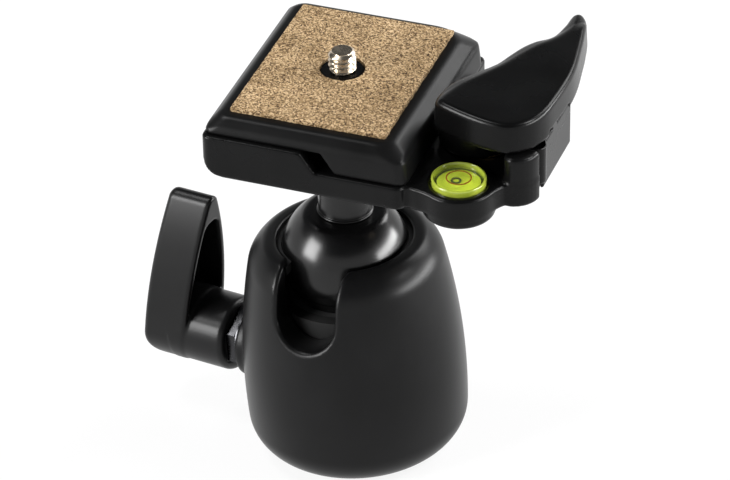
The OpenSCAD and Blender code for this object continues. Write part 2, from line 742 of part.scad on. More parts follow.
module quick_plate() color([0.14, 0.14, 0.15]) on_platform() difference() {
    union() {
        plate_rib(rib_l - 1);
        intersection() {
            translate([0, half_l, 0]) rotate([90, 0, 0]) linear_extrude(base_l)
                polygon(plate_section());
            translate([-base_l, 0, 0]) rotate([90, 0, 90]) linear_extrude(2 * base_l)
                polygon(plate_end_section());
            rounded_floor(-plate_left, plate_right, plate_l + 2 * (bevel_w + draft_w),
                plate_corner_r, plate_z + eps);
        }
    }
    translate([0, 0, -eps]) cylinder(h = plate_z + 2 * eps, r = shank_d / 2 + 0.3);
    translate([0, 0, -eps])
        cylinder(h = plate_foot + camera_head_t + 0.3 + eps, r = camera_head_d / 2 + 0.4);
}

module cork_pad() color([0.72, 0.58, 0.4]) on_platform() difference() {
    translate([-cork_w / 2, -cork_l / 2, plate_z + 0.02]) cube([cork_w, cork_l, cork_t - 0.02]);
    translate([0, 0, plate_z - eps]) cylinder(h = cork_t + 2 * eps, d = cork_hole_d);
}

module camera_screw() color([0.82, 0.82, 0.84]) on_platform() difference() {
    union() {
        translate([0, 0, plate_foot]) cylinder(h = camera_head_t, d = camera_head_d);
        translate([0, 0, plate_foot]) cylinder(h = cork_top - plate_foot, d = shank_d);
        translate([0, 0, cork_top]) cylinder(h = camera_l - 0.6, d = camera_d);
        translate([0, 0, cork_top + camera_l - 0.6])
            cylinder(h = 0.6, d1 = camera_d, d2 = camera_d - 1.2);
    }
    translate([-camera_head_d, -coin_w / 2, plate_foot - eps])
        cube([2 * camera_head_d, coin_w, coin_depth + eps]);
}

module screw_clip() color([0.2, 0.2, 0.2]) on_platform()
    translate([0, 0, plate_z + 0.1]) ring(shank_d / 2 + fit_gap, clip_d / 2, clip_t);

module clamp_lever() color([0.11, 0.11, 0.12]) on_platform()
    translate([pivot_x, -pivot_y, 0]) difference() {
        union() {
            rounded_plate(smooth(lever_points, 2), lever_z, lever_t, lever_edge);
            translate([-cam_throw, 0, cam_z]) cylinder(h = lever_z - cam_z + 1, r = cam_r);
        }
        translate([0, 0, -eps]) cylinder(h = pedestal_h + pivot_up + 0.3 + eps, r = pivot_d / 2 + fit_gap);
        translate([0, 0, -eps]) cylinder(h = cam_z + 3.4 + eps, r = pivot_d / 2 + 2);
        // The groove that the catch's nose rides in.
        translate([0, 0, lever_z - eps]) rotate([0, 0, -14]) rotate_extrude(angle = 124)
            translate([catch_in - pivot_x - 0.6, 0]) square([catch_t + nose_swing, nose_h + eps]);
    }

module lever_pivot() color([0.75, 0.75, 0.77]) on_platform()
    translate([pivot_x, -pivot_y, 0]) {
        translate([0, 0, 0.2]) cylinder(h = pivot_head_t, d = pivot_head_d);
        translate([0, 0, 0.2]) cylinder(h = pedestal_h + pivot_up - 0.2, d = pivot_d);
    }

module cam_washer() color([0.72, 0.6, 0.32]) on_platform()
    translate([pivot_x, -pivot_y, floor_t + 0.05])
    ring(pivot_d / 2 + 0.2, cam_r - cam_throw, cam_washer_t);

module lever_spring() color([0.6, 0.6, 0.62]) on_platform()
    for (i = [0:2]) translate([pivot_x, -pivot_y, cam_z + lever_wire * (0.5 + i * 1.02)])
        rotate_extrude() translate([pivot_d / 2 + 1.1, 0]) circle(d = lever_wire * 0.98, $fn = 24);

module safety_catch() color([0.12, 0.12, 0.13]) on_platform() difference() {
    union() {
        translate([catch_in, catch_pivot[1], 0.6])
            cube([catch_t, catch_l, pedestal_h - 0.7]);
        translate([catch_pivot[0], catch_pivot[1], knuckle_z])
            cylinder(h = knuckle_h, d = knuckle_d);
        translate([catch_in, -pivot_y, pedestal_h - eps])
            cube([catch_t, nose_w, nose_h + eps - 0.1]);
    }
    translate([catch_pivot[0], catch_pivot[1], -eps])
        cylinder(h = pedestal_h, r = catch_pin_d / 2 + fit_gap);
    translate([catch_pivot[0], catch_pivot[1], knuckle_z + knuckle_h])
        cylinder(h = pedestal_h, r = knuckle_d / 2 + clear_gap);
}

module catch_pin() color([0.75, 0.75, 0.77]) on_platform()
    translate([catch_pivot[0], catch_pivot[1], 1.1])
    cylinder(h = pedestal_h - 1.6, d = catch_pin_d);

module catch_spring() color([0.6, 0.6, 0.62]) on_platform()
    for (i = [0:2])
        translate([catch_pivot[0], catch_pivot[1], knuckle_z + knuckle_h + 0.5 + i * 0.66])
        rotate_extrude() translate([catch_spring_d / 2 - 0.3, 0]) circle(d = 0.6, $fn = 24);

housing();
screw_bush();
base_plug();
thread_insert();
disc_spring();
seat_ring();
lift_piston();
pressure_cup();
liner_cup();
ball();
neck_post();
clamp_screw();
knob_insert();
knob_washer();
knob_lever();
platform_base();
platform_screw();
vial_cup();
vial_fluid();
vial_ring();
vial_bubble();
vial_lens();
quick_plate();
cork_pad();
camera_screw();
screw_clip();
clamp_lever();
lever_pivot();
cam_washer();
lever_spring();
safety_catch();
catch_pin();
catch_spring();
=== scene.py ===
# %% [markdown]
# # A tripod ball head, dressed for the camera
#
# The engineering model gives every part its true place. This lesson gives those parts the
# look of the real thing: cast aluminium under black powder coat, a polished black ball,
# a moulded knob, bright steel threads, a cork face and a lime-green level.
# We first load the fixed frame, because the dressed parts have to stay the same size.

import bmesh
import bpy
import numpy as np
from mathutils import Matrix


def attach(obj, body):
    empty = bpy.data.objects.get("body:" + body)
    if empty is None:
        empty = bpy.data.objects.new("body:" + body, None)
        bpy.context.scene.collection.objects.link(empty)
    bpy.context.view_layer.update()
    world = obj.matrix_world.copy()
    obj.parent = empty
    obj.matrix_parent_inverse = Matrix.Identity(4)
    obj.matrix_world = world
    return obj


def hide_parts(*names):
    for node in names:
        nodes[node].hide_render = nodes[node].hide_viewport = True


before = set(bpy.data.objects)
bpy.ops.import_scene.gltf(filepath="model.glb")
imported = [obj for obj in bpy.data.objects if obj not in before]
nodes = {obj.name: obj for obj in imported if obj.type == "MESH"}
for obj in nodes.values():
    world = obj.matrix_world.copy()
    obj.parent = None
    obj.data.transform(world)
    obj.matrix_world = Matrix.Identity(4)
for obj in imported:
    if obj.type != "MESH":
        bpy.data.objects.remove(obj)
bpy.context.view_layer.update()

# %% [markdown]
# ## Four workbenches
#
# Each group of parts is easiest to describe in its own directions, as on a workbench:
# the platform lies level there, and the knob's axis stands upright. Parenting to empties
# could do that too, but then the meshes would not hold their own places. Here a bench is
# a turn and an origin in millimetres, and `Bench.out` carries points from it to the head,
# in metres.

# %% Benches
def turned(axis, degrees):
    """Turn about one axis: cosine and sine of the angle in the two other axes."""
    c, s = np.cos(np.radians(degrees)), np.sin(np.radians(degrees))
    if axis == "y":
        return np.array([[c, 0, s], [0, 1, 0], [-s, 0, c]])
    return np.array([[c, -s, 0], [s, c, 0], [0, 0, 1]])


class Bench:
    """A place to work: world point = origin + turn times local point."""

    def __init__(self, turn, origin):
        self.turn, self.origin = turn, np.array(origin, float)

    def out(self, p):
        """Points of this bench in metres on the head."""
        return (p @ self.turn.T + self.origin) / 1000


BALL_Z = 50.0
NECK_LEAN = 3.5
DECK_TURN, DECK_RISE = 6, 34.7
KNOB_Z, KNOB_HEADING = 18.6, 175

NECK = turned("y", NECK_LEAN)
DECK = NECK @ turned("z", DECK_TURN)
ground = Bench(np.eye(3), (0, 0, 0))
neck_bench = Bench(NECK, (0, 0, BALL_Z))
deck = Bench(DECK, np.array([0, 0, BALL_Z]) + NECK @ [0, 0, DECK_RISE])
knob_bench = Bench(turned("z", KNOB_HEADING) @ turned("y", 90), (0, 0, KNOB_Z))
print("platform's origin, mm:", np.round(deck.origin, 2))

# %% [markdown]
# ## Castings as distance fields
#
# A casting has no sharp edges: every edge is rounded, and every inner corner has a fillet.
# Bevel modifiers struggle where many cuts meet. Instead we describe each casting by a
# *distance field*: a function that is negative inside, positive outside and zero on the
# skin. Two fields meet in an edge of any radius with one formula, so the rounding comes
# free, wherever the cuts run. FAR is a distance that no rounding reaches.

# %% Fields that meet and join
FAR = 9


def meet(a, b, r):
    """Both solids at once, the edge rounded to r.
    In words: outside the rounding the larger field wins, inside it the two overshoots
    a + r and b + r are the legs of a right triangle, and the arc is its long side."""
    return np.minimum(np.maximum(a, b), -r) + np.hypot(np.maximum(a + r, 0), np.maximum(b + r, 0))


def join(a, b, r):
    """Either solid, the inner corner filled with a fillet of radius r."""
    return np.maximum(np.minimum(a, b), r) - np.hypot(np.maximum(r - a, 0), np.maximum(r - b, 0))


def slope(h, v, start, end):
    """Distance from the straight line through two points of a section, positive on the
    right of the way from start to end."""
    dh, dv = end[0] - start[0], end[1] - start[1]
    return ((h - start[0]) * dv - (v - start[1]) * dh) / np.hypot(dh, dv)


def disc(x, y, centre, r):
    """Distance from an upright round wall: length of (x, y) less the centre, less r."""
    return np.hypot(x - centre[0], y - centre[1]) - r


def outline(points, x, y):
    """Signed distance to a closed outline: the nearest of its edges, negative inside,
    where a ray crosses the outline an odd number of times."""
    best = np.full(np.broadcast(x, y).shape, 1e9)
    odd = np.zeros(best.shape, bool)
    for (x0, y0), (x1, y1) in zip(points, np.roll(points, -1, axis=0)):
        ex, ey = x1 - x0, y1 - y0
        t = np.clip(((x - x0) * ex + (y - y0) * ey) / (ex * ex + ey * ey), 0, 1)
        best = np.minimum(best, (x - x0 - t * ex) ** 2 + (y - y0 - t * ey) ** 2)
        if abs(ey) > 1e-12:
            odd ^= ((y0 > y) != (y1 > y)) & (x < x0 + (y - y0) * ex / ey)
    return np.where(odd, -1, 1) * np.sqrt(best)


# %% [markdown]
# A field becomes a mesh by *surface nets*: space is cut into small boxes, each box that
# the skin passes through gets one point, and four boxes round a crossed edge make one
# face. Everything is done on whole arrays. The points are then slid along the field's
# gradient until the field is zero, which puts them exactly on the skin.

# %% From a field to a mesh
def new_object(name, points, faces, bench, sharp=None):
    """An object from points in millimetres on a bench and faces as rows of indices."""
    mesh = bpy.data.meshes.new(name)
    mesh.from_pydata(bench.out(points), [], faces.tolist())
    bm = bmesh.new()
    bm.from_mesh(mesh)
    bmesh.ops.remove_doubles(bm, verts=bm.verts, dist=1e-8)
    bmesh.ops.recalc_face_normals(bm, faces=bm.faces)
    bm.to_mesh(mesh)
    bm.free()
    mesh.polygons.foreach_set("use_smooth", np.ones(len(mesh.polygons), bool))
    if sharp:
        mesh.set_sharp_from_angle(angle=np.radians(sharp))
    piece = bpy.data.objects.new(name, mesh)
    bpy.context.scene.collection.objects.link(piece)
    print(f"{name}: {len(mesh.vertices)} points, {len(mesh.polygons)} faces")
    return piece


def net(field, low, high, step):
    """Points and faces of the surface field = 0 in the box from low to high."""
    axes = [np.arange(a - 2 * step, b + 3 * step, step) for a, b in zip(low, high)]
    f = field(axes[0][:, None, None], axes[1][None, :, None], axes[2][None, None, :])
    f = np.broadcast_to(f, [len(a) for a in axes])
    cells = tuple(n - 1 for n in f.shape)
    total, count = np.zeros(cells + (3,)), np.zeros(cells)
    crossed = []
    for k in range(3):
        one, two = (k + 1) % 3, (k + 2) % 3
        lower = np.take(f, range(f.shape[k] - 1), k)
        upper = np.take(f, range(1, f.shape[k]), k)
        cross = (lower < 0) != (upper < 0)
        t = np.where(cross, lower / np.where(cross, lower - upper, 1), 0)
        crossed.append((cross, lower < 0))
        for i in (0, 1):
            for j in (0, 1):
                cut = [slice(None)] * 3
                cut[one] = slice(i, i + cells[one])
                cut[two] = slice(j, j + cells[two])
                c = cross[tuple(cut)]
                total[..., k] += t[tuple(cut)]
                total[..., one] += i * c
                total[..., two] += j * c
                count += c
    used = count > 0
    index = np.full(cells, -1)
    index[used] = np.arange(used.sum())
    start = np.array([a[0] for a in axes])
    points = (np.argwhere(used) + total[used] / count[used][:, None]) * step + start
    faces = []
    for k, (cross, below) in enumerate(crossed):
        i, j = (k + 1) % 3, (k + 2) % 3
        one, two = np.eye(3, dtype=int)[i], np.eye(3, dtype=int)[j]
        at = np.argwhere(cross)
        inside = (at[:, i] > 0) & (at[:, j] > 0) & (at[:, i] < cells[i]) & (at[:, j] < cells[j])
        at = at[inside]
        ring = [index[tuple((at - o).T)] for o in (one + two, two, 0 * one, one)]
        quad = np.stack(ring, axis=1)
        down = ~below[tuple(at.T)]
        quad[down] = quad[down][:, ::-1]
        faces.append(quad)
    return points, np.concatenate(faces)


SLIDES = 3
PROBE = 0.02
LEAST_GRADIENT = 0.3


def skin(name, field, low, high, step, bench):
    """The mesh of a field, its points slid down the gradient on to the skin: the way is
    the field's value times its gradient, over the gradient's squared length."""
    points, faces = net(field, low, high, step)
    h = PROBE
    for _ in range(SLIDES):
        x, y, z = points.T
        value = field(x, y, z)
        grad = np.stack([
            field(x + h, y, z) - field(x - h, y, z),
            field(x, y + h, z) - field(x, y - h, z),
            field(x, y, z + h) - field(x, y, z - h)], axis=1) / (2 * h)
        squared = np.maximum((grad ** 2).sum(axis=1), LEAST_GRADIENT)
        move = grad * (value / squared)[:, None]
        points = points - np.clip(move, -step, step)
    return new_object(name, points, faces, bench)


# %% [markdown]
# ## Turned parts, threads and springs
#
# What comes off a lathe is a profile carried round an axis. A thread is the same with a
# radius that also winds, and a spring is a small circle carried along a helix. The Screw
# modifier could turn the first, but it can't cut the thread, so all three are one grid of
# points: rows along the profile and columns round the axis.

# %% Grids
def grid_faces(rows, columns, close_rows=False):
    """Quads of a grid whose columns run round and meet again at the seam."""
    r = np.arange(rows if close_rows else rows - 1)[:, None]
    c = np.arange(columns)[None, :]
    r2, c2 = (r + 1) % rows, (c + 1) % columns
    corners = r * columns + c, r * columns + c2, r2 * columns + c2, r2 * columns + c
    return np.stack(np.broadcast_arrays(*corners), axis=-1).reshape(-1, 4)


def softened(corners, steps=5):
    """A polyline whose corners (x, y, r) are rounded by arcs of radius r."""
    out = []
    for i, (x, y, r) in enumerate(corners):
        p = np.array([x, y], float)
        if r == 0 or i in (0, len(corners) - 1):
            out.append(p)
            continue
        a = np.array(corners[i - 1][:2]) - p
        b = np.array(corners[i + 1][:2]) - p
        a, b = a / np.hypot(*a), b / np.hypot(*b)
        half = np.arccos(np.clip(a @ b, -1, 1)) / 2
        centre = p + (a + b) / np.hypot(*(a + b)) * r / np.sin(half)
        first, last = p + a * r / np.tan(half) - centre, p + b * r / np.tan(half) - centre
        for t in np.linspace(0, 1, steps + 1):
            v = first * (1 - t) + last * t
            out.append(centre + v / np.hypot(*v) * r)
    return np.array(out)


def arc_rows(radius, centre, start, end, count):
    """Points of an arc: centre plus radius times cosine and sine, angles in degrees."""
    a = np.radians(np.linspace(start, end, count))
    return np.stack([centre[0] + radius * np.cos(a), centre[1] + radius * np.sin(a)], axis=1)


def rows_along(profile, step):
    """The same polyline with more points, no further apart than the step."""
    out = [profile[0]]
    for a, b in zip(profile[:-1], profile[1:]):
        n = max(1, int(np.ceil(np.hypot(*(b - a)) / step)))
        out.extend(a + (b - a) * i / n for i in range(1, n + 1))
    return np.array(out)


def lathe(name, profile, bench, columns=96, centre=(0, 0), closed=False, sharp=32, bend=None):
    """The profile of [radius, height] points carried round the upright axis through
    `centre`: x = radius times cosine, y = radius times sine. `bend` may change the radius
    as a function of angle and height."""
    angle = np.linspace(0, 2 * np.pi, columns, endpoint=False)[None, :]
    radius, height = profile[:, 0][:, None], profile[:, 1][:, None]
    if bend:
        radius = bend(radius, angle, height)
    grid = np.stack(np.broadcast_arrays(
        centre[0] + radius * np.cos(angle), centre[1] + radius * np.sin(angle), height), axis=-1)
    return new_object(name, grid.reshape(-1, 3), grid_faces(len(profile), columns, closed), bench, sharp)


# %% Threads and springs
GROOVE_FULL, GROOVE_FALL = 1.13, 2.5
THREAD_RUN_OUT = 0.4
COIL_STEPS, WIRE_COLUMNS = 40, 12
FLAT_TURNS = 0.75


def wound(pitch, depth, bottom, top):
    """A radius that sinks by `depth` along a helix: the place across the thread is
    height / pitch less angle / full turn, and the groove is a V with a flat floor and a
    flat crest, which fades at both ends of the thread."""
    def bend(radius, angle, height):
        """The radius less the groove; a point on the axis stays there."""
        across = (height / pitch - angle / (2 * np.pi)) % 1
        groove = np.clip(GROOVE_FULL - GROOVE_FALL * np.abs(across - 0.5), 0, 1)
        fade = (np.clip((height - bottom) / THREAD_RUN_OUT, 0, 1)
                * np.clip((top - height) / THREAD_RUN_OUT, 0, 1))
        return np.where(radius > 0, radius - depth * groove * fade, 0)
    return bend


def coil(name, radius, wire, turns, foot, height, centre, bench):
    """A spring: a circle of the wire's radius carried along a helix that lies flat for
    the first and last part turn, its two ends closed by shrinking the last circle to a
    point."""
    t = np.linspace(0, 1, int(turns * COIL_STEPS))[:, None]
    a = 2 * np.pi * turns * t
    rise = np.clip((t * turns - FLAT_TURNS) / (turns - 2 * FLAT_TURNS), 0, 1)
    path = np.concatenate([centre[0] + radius * np.cos(a), centre[1] + radius * np.sin(a),
                           foot + wire / 2 + (height - wire) * rise], axis=1)
    out = np.concatenate([np.cos(a), np.sin(a), 0 * a], axis=1)
    up = np.array([0, 0, 1.0])
    ring = np.linspace(0, 2 * np.pi, WIRE_COLUMNS, endpoint=False)
    size = np.ones(len(path))
    size[[0, -1]] = 0
    tube = path[:, None] + wire / 2 * size[:, None, None] * (
        np.cos(ring)[None, :, None] * out[:, None] + np.sin(ring)[None, :, None] * up)
    return new_object(name, tube.reshape(-1, 3), grid_faces(len(path), WIRE_COLUMNS), bench, sharp=50)


# %% [markdown]
# ## Finishes
#
# Every finish is a small network of nodes on object coordinates, so a pattern keeps its
# true size in millimetres on every part. A picture wrapped round each part could do the
# same, but it would have to be unwrapped, and it would blur from near by.

# %% A finish and its bump
def finish(name, colour, rough, metal=0.0, specular=0.5, coat=0.0, coat_rough=0.1, alpha=1.0):
    """A network with one shader, its constant values set on its own sockets."""
    mat = bpy.data.materials.new(name)
    mat.use_nodes = True
    shader = mat.node_tree.nodes["Principled BSDF"]
    for socket, value in (("Base Color", (*colour, 1)), ("Roughness", rough), ("Metallic", metal),
                          ("Specular IOR Level", specular), ("Coat Weight", coat),
                          ("Coat Roughness", coat_rough), ("Alpha", alpha)):
        shader.inputs[socket].default_value = value
    return mat, mat.node_tree, shader


def node(tree, kind, **values):
    """One node, with values for its properties or, by name, for its input sockets."""
    made = tree.nodes.new(kind)
    for key, value in values.items():
        if hasattr(made, key):
            setattr(made, key, value)
        else:
            made.inputs[key.replace("_", " ")].default_value = value
    return made


def noise(tree, scale, detail=2.0, stretch=(1, 1, 1)):
    """A noise whose blobs are 1/scale metres wide, stretched along the axes."""
    place = node(tree, "ShaderNodeTexCoord")
    size = node(tree, "ShaderNodeMapping", Scale=stretch)
    blob = node(tree, "ShaderNodeTexNoise", Scale=scale, Detail=detail)
    tree.links.new(place.outputs["Object"], size.inputs["Vector"])
    tree.links.new(size.outputs[0], blob.inputs["Vector"])
    return blob.outputs["Fac"]


def ramp(tree, source, stops):
    """A colour ramp with the stops (place, colour)."""
    made = node(tree, "ShaderNodeValToRGB")
    tree.links.new(source, made.inputs["Fac"])
    band = made.color_ramp.elements
    while len(band) < len(stops):
        band.new(0.5)
    for element, (at, colour) in zip(band, stops):
        element.position = at
        element.color = (*colour, 1)
    return made.outputs["Color"]


def spread(tree, source, low, high):
    """The source's middle range brought to the range from low to high."""
    made = node(tree, "ShaderNodeMapRange", From_Min=0.3, From_Max=0.7, To_Min=low, To_Max=high)
    tree.links.new(source, made.inputs["Value"])
    return made.outputs["Result"]


def bumped(tree, shader, source, height_mm, strength=1.0):
    """Bump from a source, its height in millimetres."""
    made = node(tree, "ShaderNodeBump", Strength=strength, Distance=height_mm / 1000)
    tree.links.new(source, made.inputs["Height"])
    tree.links.new(made.outputs[0], shader.inputs["Normal"])


# %% [markdown]
# The blacks of the head differ more in gloss than in colour. The barrel wears powder coat
# with a fine orange peel, the platform, the lever and the catch a smoother paint, the
# camera plate a slightly paler one, and the ball is polished. Plain black would look like
# a hole, so each of them has two near shades, a gloss that wanders and a grain. One
# function makes them all, because only these numbers differ.

# %% Black paints and plastics
CLOUD_SCALE = 60


def coated(name, dark, pale, rough, rough_swing, grain_mm, bump_mm, specular=0.5):
    """Paint or moulded plastic: two near shades, wandering gloss and a fine grain."""
    mat, tree, shader = finish(name, dark, rough, specular=specular)
    cloud = noise(tree, CLOUD_SCALE, 3)
    tree.links.new(ramp(tree, cloud, [(0.35, dark), (0.7, pale)]), shader.inputs["Base Color"])
    gloss = spread(tree, cloud, rough - rough_swing, rough + rough_swing)
    tree.links.new(gloss, shader.inputs["Roughness"])
    bumped(tree, shader, noise(tree, 1000 / grain_mm, 2), bump_mm)
    return mat


powder_coat = coated("powder_coat", (0.0024, 0.0024, 0.0025), (0.0042, 0.0042, 0.0044),
                     rough=0.33, rough_swing=0.03, grain_mm=0.35, bump_mm=0.003, specular=0.17)
moulded = coated("moulded_plastic", (0.003, 0.003, 0.0031), (0.005, 0.005, 0.0052),
                 rough=0.34, rough_swing=0.03, grain_mm=0.5, bump_mm=0.005, specular=0.22)
satin_coat = coated("satin_coat", (0.0015, 0.0015, 0.0015), (0.003, 0.003, 0.0031),
                    rough=0.27, rough_swing=0.02, grain_mm=0.35, bump_mm=0.002, specular=0.15)
plate_coat = coated("plate_coat", (0.0035, 0.0035, 0.0035), (0.006, 0.006, 0.0061),
                    rough=0.32, rough_swing=0.03, grain_mm=0.35, bump_mm=0.003, specular=0.13)
ball_black = coated("polished_black", (0.0012, 0.0012, 0.0012), (0.002, 0.002, 0.0021),
                    rough=0.23, rough_swing=0.015, grain_mm=2.0, bump_mm=0.0005, specular=0.38)
black_plastic = coated("black_plastic", (0.004, 0.004, 0.004), (0.006, 0.006, 0.006),
                       rough=0.55, rough_swing=0.03, grain_mm=0.5, bump_mm=0.008)
grey_plastic = coated("grey_nylon", (0.035, 0.035, 0.035), (0.05, 0.05, 0.05),
                      rough=0.5, rough_swing=0.03, grain_mm=0.5, bump_mm=0.008)
print("paints and plastics:", [mat.name for mat in bpy.data.materials])

# %% [markdown]
# Turned metal is marked by the tool with fine lines. A noise that is squeezed along one
# axis and drawn out along the others stands for them, in the gloss and in a bump of a few
# thousandths of a millimetre. Modelled lines would be finer than any mesh.

# %% Metals
TOOL_MARK_SCALE = 2500
TOOL_MARK_BUMP = 0.004


def metal(name, colour, rough, stretch, streak=0.05):
    """Bare metal: tool marks from a noise that is long one way and short the other."""
    mat, tree, shader = finish(name, colour, rough, metal=1.0)
    marks = noise(tree, TOOL_MARK_SCALE, 2, stretch)
    tree.links.new(spread(tree, marks, rough - streak, rough + streak), shader.inputs["Roughness"])
    bumped(tree, shader, marks, TOOL_MARK_BUMP)
    return mat


steel = metal("bright_steel", (0.6, 0.51, 0.4), 0.25, (0.15, 0.15, 1))
dark_steel = metal("dark_steel", (0.05, 0.05, 0.053), 0.25, (0.15, 0.15, 1))
spring_steel = metal("spring_steel", (0.3, 0.3, 0.3), 0.3, (1, 1, 0.2))
brass = metal("brass", (0.72, 0.5, 0.2), 0.3, (0.1, 0.1, 1))
aluminium = metal("turned_aluminium", (0.7, 0.7, 0.71), 0.32, (0.1, 0.1, 1))
dark_metal = metal("black_anodised", (0.03, 0.03, 0.032), 0.35, (0.1, 0.1, 1))

# %% [markdown]
# Cork sheet is pressed from granules about a third of a millimetre across. A Voronoi
# pattern gives each granule its own shade and, by the distance from its middle, its
# relief. A slow noise gives the cloudy patches that a pressed sheet always has.

# %% Cork
GRANULES_PER_M = 3200.0
PATCH_SCALE = 90
GRANULE_BUMP = 0.12

cork, tree, shader = finish("cork", (0.5, 0.36, 0.2), 0.85, specular=0.2)
place = node(tree, "ShaderNodeTexCoord")
grains = node(tree, "ShaderNodeTexVoronoi", Scale=GRANULES_PER_M)
tree.links.new(place.outputs["Object"], grains.inputs["Vector"])
pick = node(tree, "ShaderNodeSeparateColor")
tree.links.new(grains.outputs["Color"], pick.inputs["Color"])
shades = ramp(tree, pick.outputs["Red"], [(0.0, (0.04, 0.02, 0.009)), (0.25, (0.17, 0.105, 0.05)),
                                          (0.6, (0.36, 0.245, 0.125)), (1.0, (0.64, 0.47, 0.28))])
patches = ramp(tree, noise(tree, PATCH_SCALE, 4), [(0.35, (0.72, 0.7, 0.66)), (0.6, (1, 1, 1))])
mixed = node(tree, "ShaderNodeMix", data_type="RGBA", blend_type="MULTIPLY")
mixed.inputs["Factor"].default_value = 1
tree.links.new(shades, mixed.inputs["A"])
tree.links.new(patches, mixed.inputs["B"])
tree.links.new(mixed.outputs["Result"], shader.inputs["Base Color"])
bumped(tree, shader, grains.outputs["Distance"], GRANULE_BUMP)
print(f"cork granules: {1000 / GRANULES_PER_M:.2f} mm across")

# %% [markdown]
# The level is a lime dye behind a clear dome. A lens that really refracts would shut the
# light out of the dye at few samples, so the dome is a thin clear skin with its own gloss,
# and the dye below it carries the colour.

# %% The level's finishes
def tint(tree, shader, scale, dark, pale):
    """Two near shades of one colour, clouded by a noise."""
    cloud = ramp(tree, noise(tree, scale, 2), [(0.3, dark), (0.7, pale)])
    tree.links.new(cloud, shader.inputs["Base Color"])


lime, tree, shader = finish("lime_dye", (0.4, 0.5, 0.03), 0.3, coat=0.6)
tint(tree, shader, 250, (0.6, 0.74, 0.03), (0.7, 0.84, 0.05))
rim_lime, tree, shader = finish("lime_rim", (0.3, 0.36, 0.04), 0.12, coat=1.0, coat_rough=0.04)
tint(tree, shader, 300, (0.25, 0.31, 0.025), (0.36, 0.42, 0.05))
clear, tree, shader = finish("clear_dome", (0.5, 0.6, 0.2), 0.05, specular=1.0, alpha=0.05)
tree.links.new(spread(tree, noise(tree, 400, 2), 0.03, 0.07), shader.inputs["Roughness"])
ring_red, tree, shader = finish("printed_ring", (0.2, 0.05, 0.003), 0.4)
tint(tree, shader, 900, (0.16, 0.035, 0.002), (0.24, 0.06, 0.004))
# Painted shade: a dark olive for the ring round the dye and for the bubble's outline, standing in for the
# dark edges that refraction draws in a level.
refraction_shade_mat, tree, shader = finish("painted_refraction_edge", (0.03, 0.04, 0.01), 0.1, coat=1.0)
tint(tree, shader, 900, (0.02, 0.03, 0.004), (0.05, 0.07, 0.01))

# %% [markdown]
# ## The parts that keep their engineering shape
#
# What sits inside the head or shows only a sliver needs no finer mesh: rings, bushes,
# pins and the dye in the level. Those nodes are left as they are and only get a finish.

# %% Dress the hidden parts
def dress(mat, *names):
    """Gives a CAD node or a new piece its finish."""
    for name in names:
        piece = nodes.get(name) or bpy.data.objects[name]
        piece.data.materials.clear()
        piece.data.materials.append(mat)


dress(black_plastic, "seat_ring", "pressure_cup")
dress(satin_coat, "screw_clip")
dress(grey_plastic, "liner_cup")
dress(steel, "thread_insert", "platform_screw", "lever_pivot")
dress(dark_steel, "knob_insert", "knob_washer", "catch_pin")
dress(spring_steel, "disc_spring")
dress(aluminium, "lift_piston")
dress(brass, "screw_bush", "cam_washer")
dress(dark_metal, "base_plug")
dress(lime, "vial_fluid")
print("finishes so far:", sorted(mat.name for mat in bpy.data.materials))

# %% [markdown]
# ## The housing
#
# The housing is one casting: a bulged barrel that rounds in to a lip round the ball, a
# boss for the knob, and the deep notch that the neck drops into. Its outer side is a very
# large circle seen from the side, so the field starts as the distance to that circle.
# A lathe could turn the barrel, but not blend it into the boss and the notch.

# %% Housing
BARREL_R, BARREL_H, WIDEST_Z = 25.9, 54.9, 17.5
SIDE_R = 156.0
SHOULDER_Z, SHOULDER_R, HEEL_R, LIP_EDGE = 56.4, 7.4, 8.6, 0.4
BOSS_R, BOSS_ROOT, BOSS_END, BOSS_EDGE, BOSS_FILLET = 9.0, 8.0, 28.0, 0.9, 1.6
BORE_R, BORE_TOP, MOUTH_R, MOUTH_EDGE = 17.2, 53.7, 15.6, 0.35
NOTCH_R, NOTCH_Z, NOTCH_BACK, NOTCH_EDGE = 7.3, 44.7, 12.0, 1.1
SCREW_ROOM_R, SCREW_ROOM_EDGE = 6.05, 0.4
way_x, way_y, _ = knob_bench.turn @ [0, 0, 1]


def housing_field(x, y, z):
    """A barrel whose side is a circle of radius SIDE_R, rounded above, where a flat top
    cuts it, and below, joined with the boss, less the bore, the mouth, the notch and the
    screw's room."""
    rho = np.hypot(x, y)
    side = np.hypot(rho + (SIDE_R - BARREL_R), z - WIDEST_Z) - SIDE_R
    solid = meet(meet(side, z - SHOULDER_Z, SHOULDER_R), -z, HEEL_R)
    solid = meet(solid, z - BARREL_H, LIP_EDGE)
    out = x * way_x + y * way_y
    off = np.hypot(x * way_y - y * way_x, z - KNOB_Z)
    boss = np.maximum(meet(off - BOSS_R, out - BOSS_END, BOSS_EDGE), BOSS_ROOT - out)
    solid = join(solid, boss, BOSS_FILLET)
    hollow = np.minimum(np.maximum(rho - BORE_R, z - BORE_TOP), rho - MOUTH_R)
    solid = meet(solid, -hollow, MOUTH_EDGE)
    slot = np.where(z > NOTCH_Z, np.abs(x), np.hypot(x, z - NOTCH_Z)) - NOTCH_R
    solid = meet(solid, -np.maximum(slot, y + NOTCH_BACK), NOTCH_EDGE)
    return meet(solid, -np.maximum(off - SCREW_ROOM_R, -out), SCREW_ROOM_EDGE)


casting = skin("barrel_casting", housing_field, (-30, -27, 0), (27, 27, BARREL_H), 0.55, ground)
dress(powder_coat, "barrel_casting")
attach(casting, "housing")
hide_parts("housing")

# %% [markdown]
# ## The ball
#
# The ball is turned and polished. A sphere primitive has the round but not the small flat
# that the neck stands on, so it is a lathe profile: a circle from the pole below to the
# flat on top, a turned edge between the two, and the bore for the neck's stud. The bore's
# depth is measured from the circle in which the neck's foot would cut the full ball.

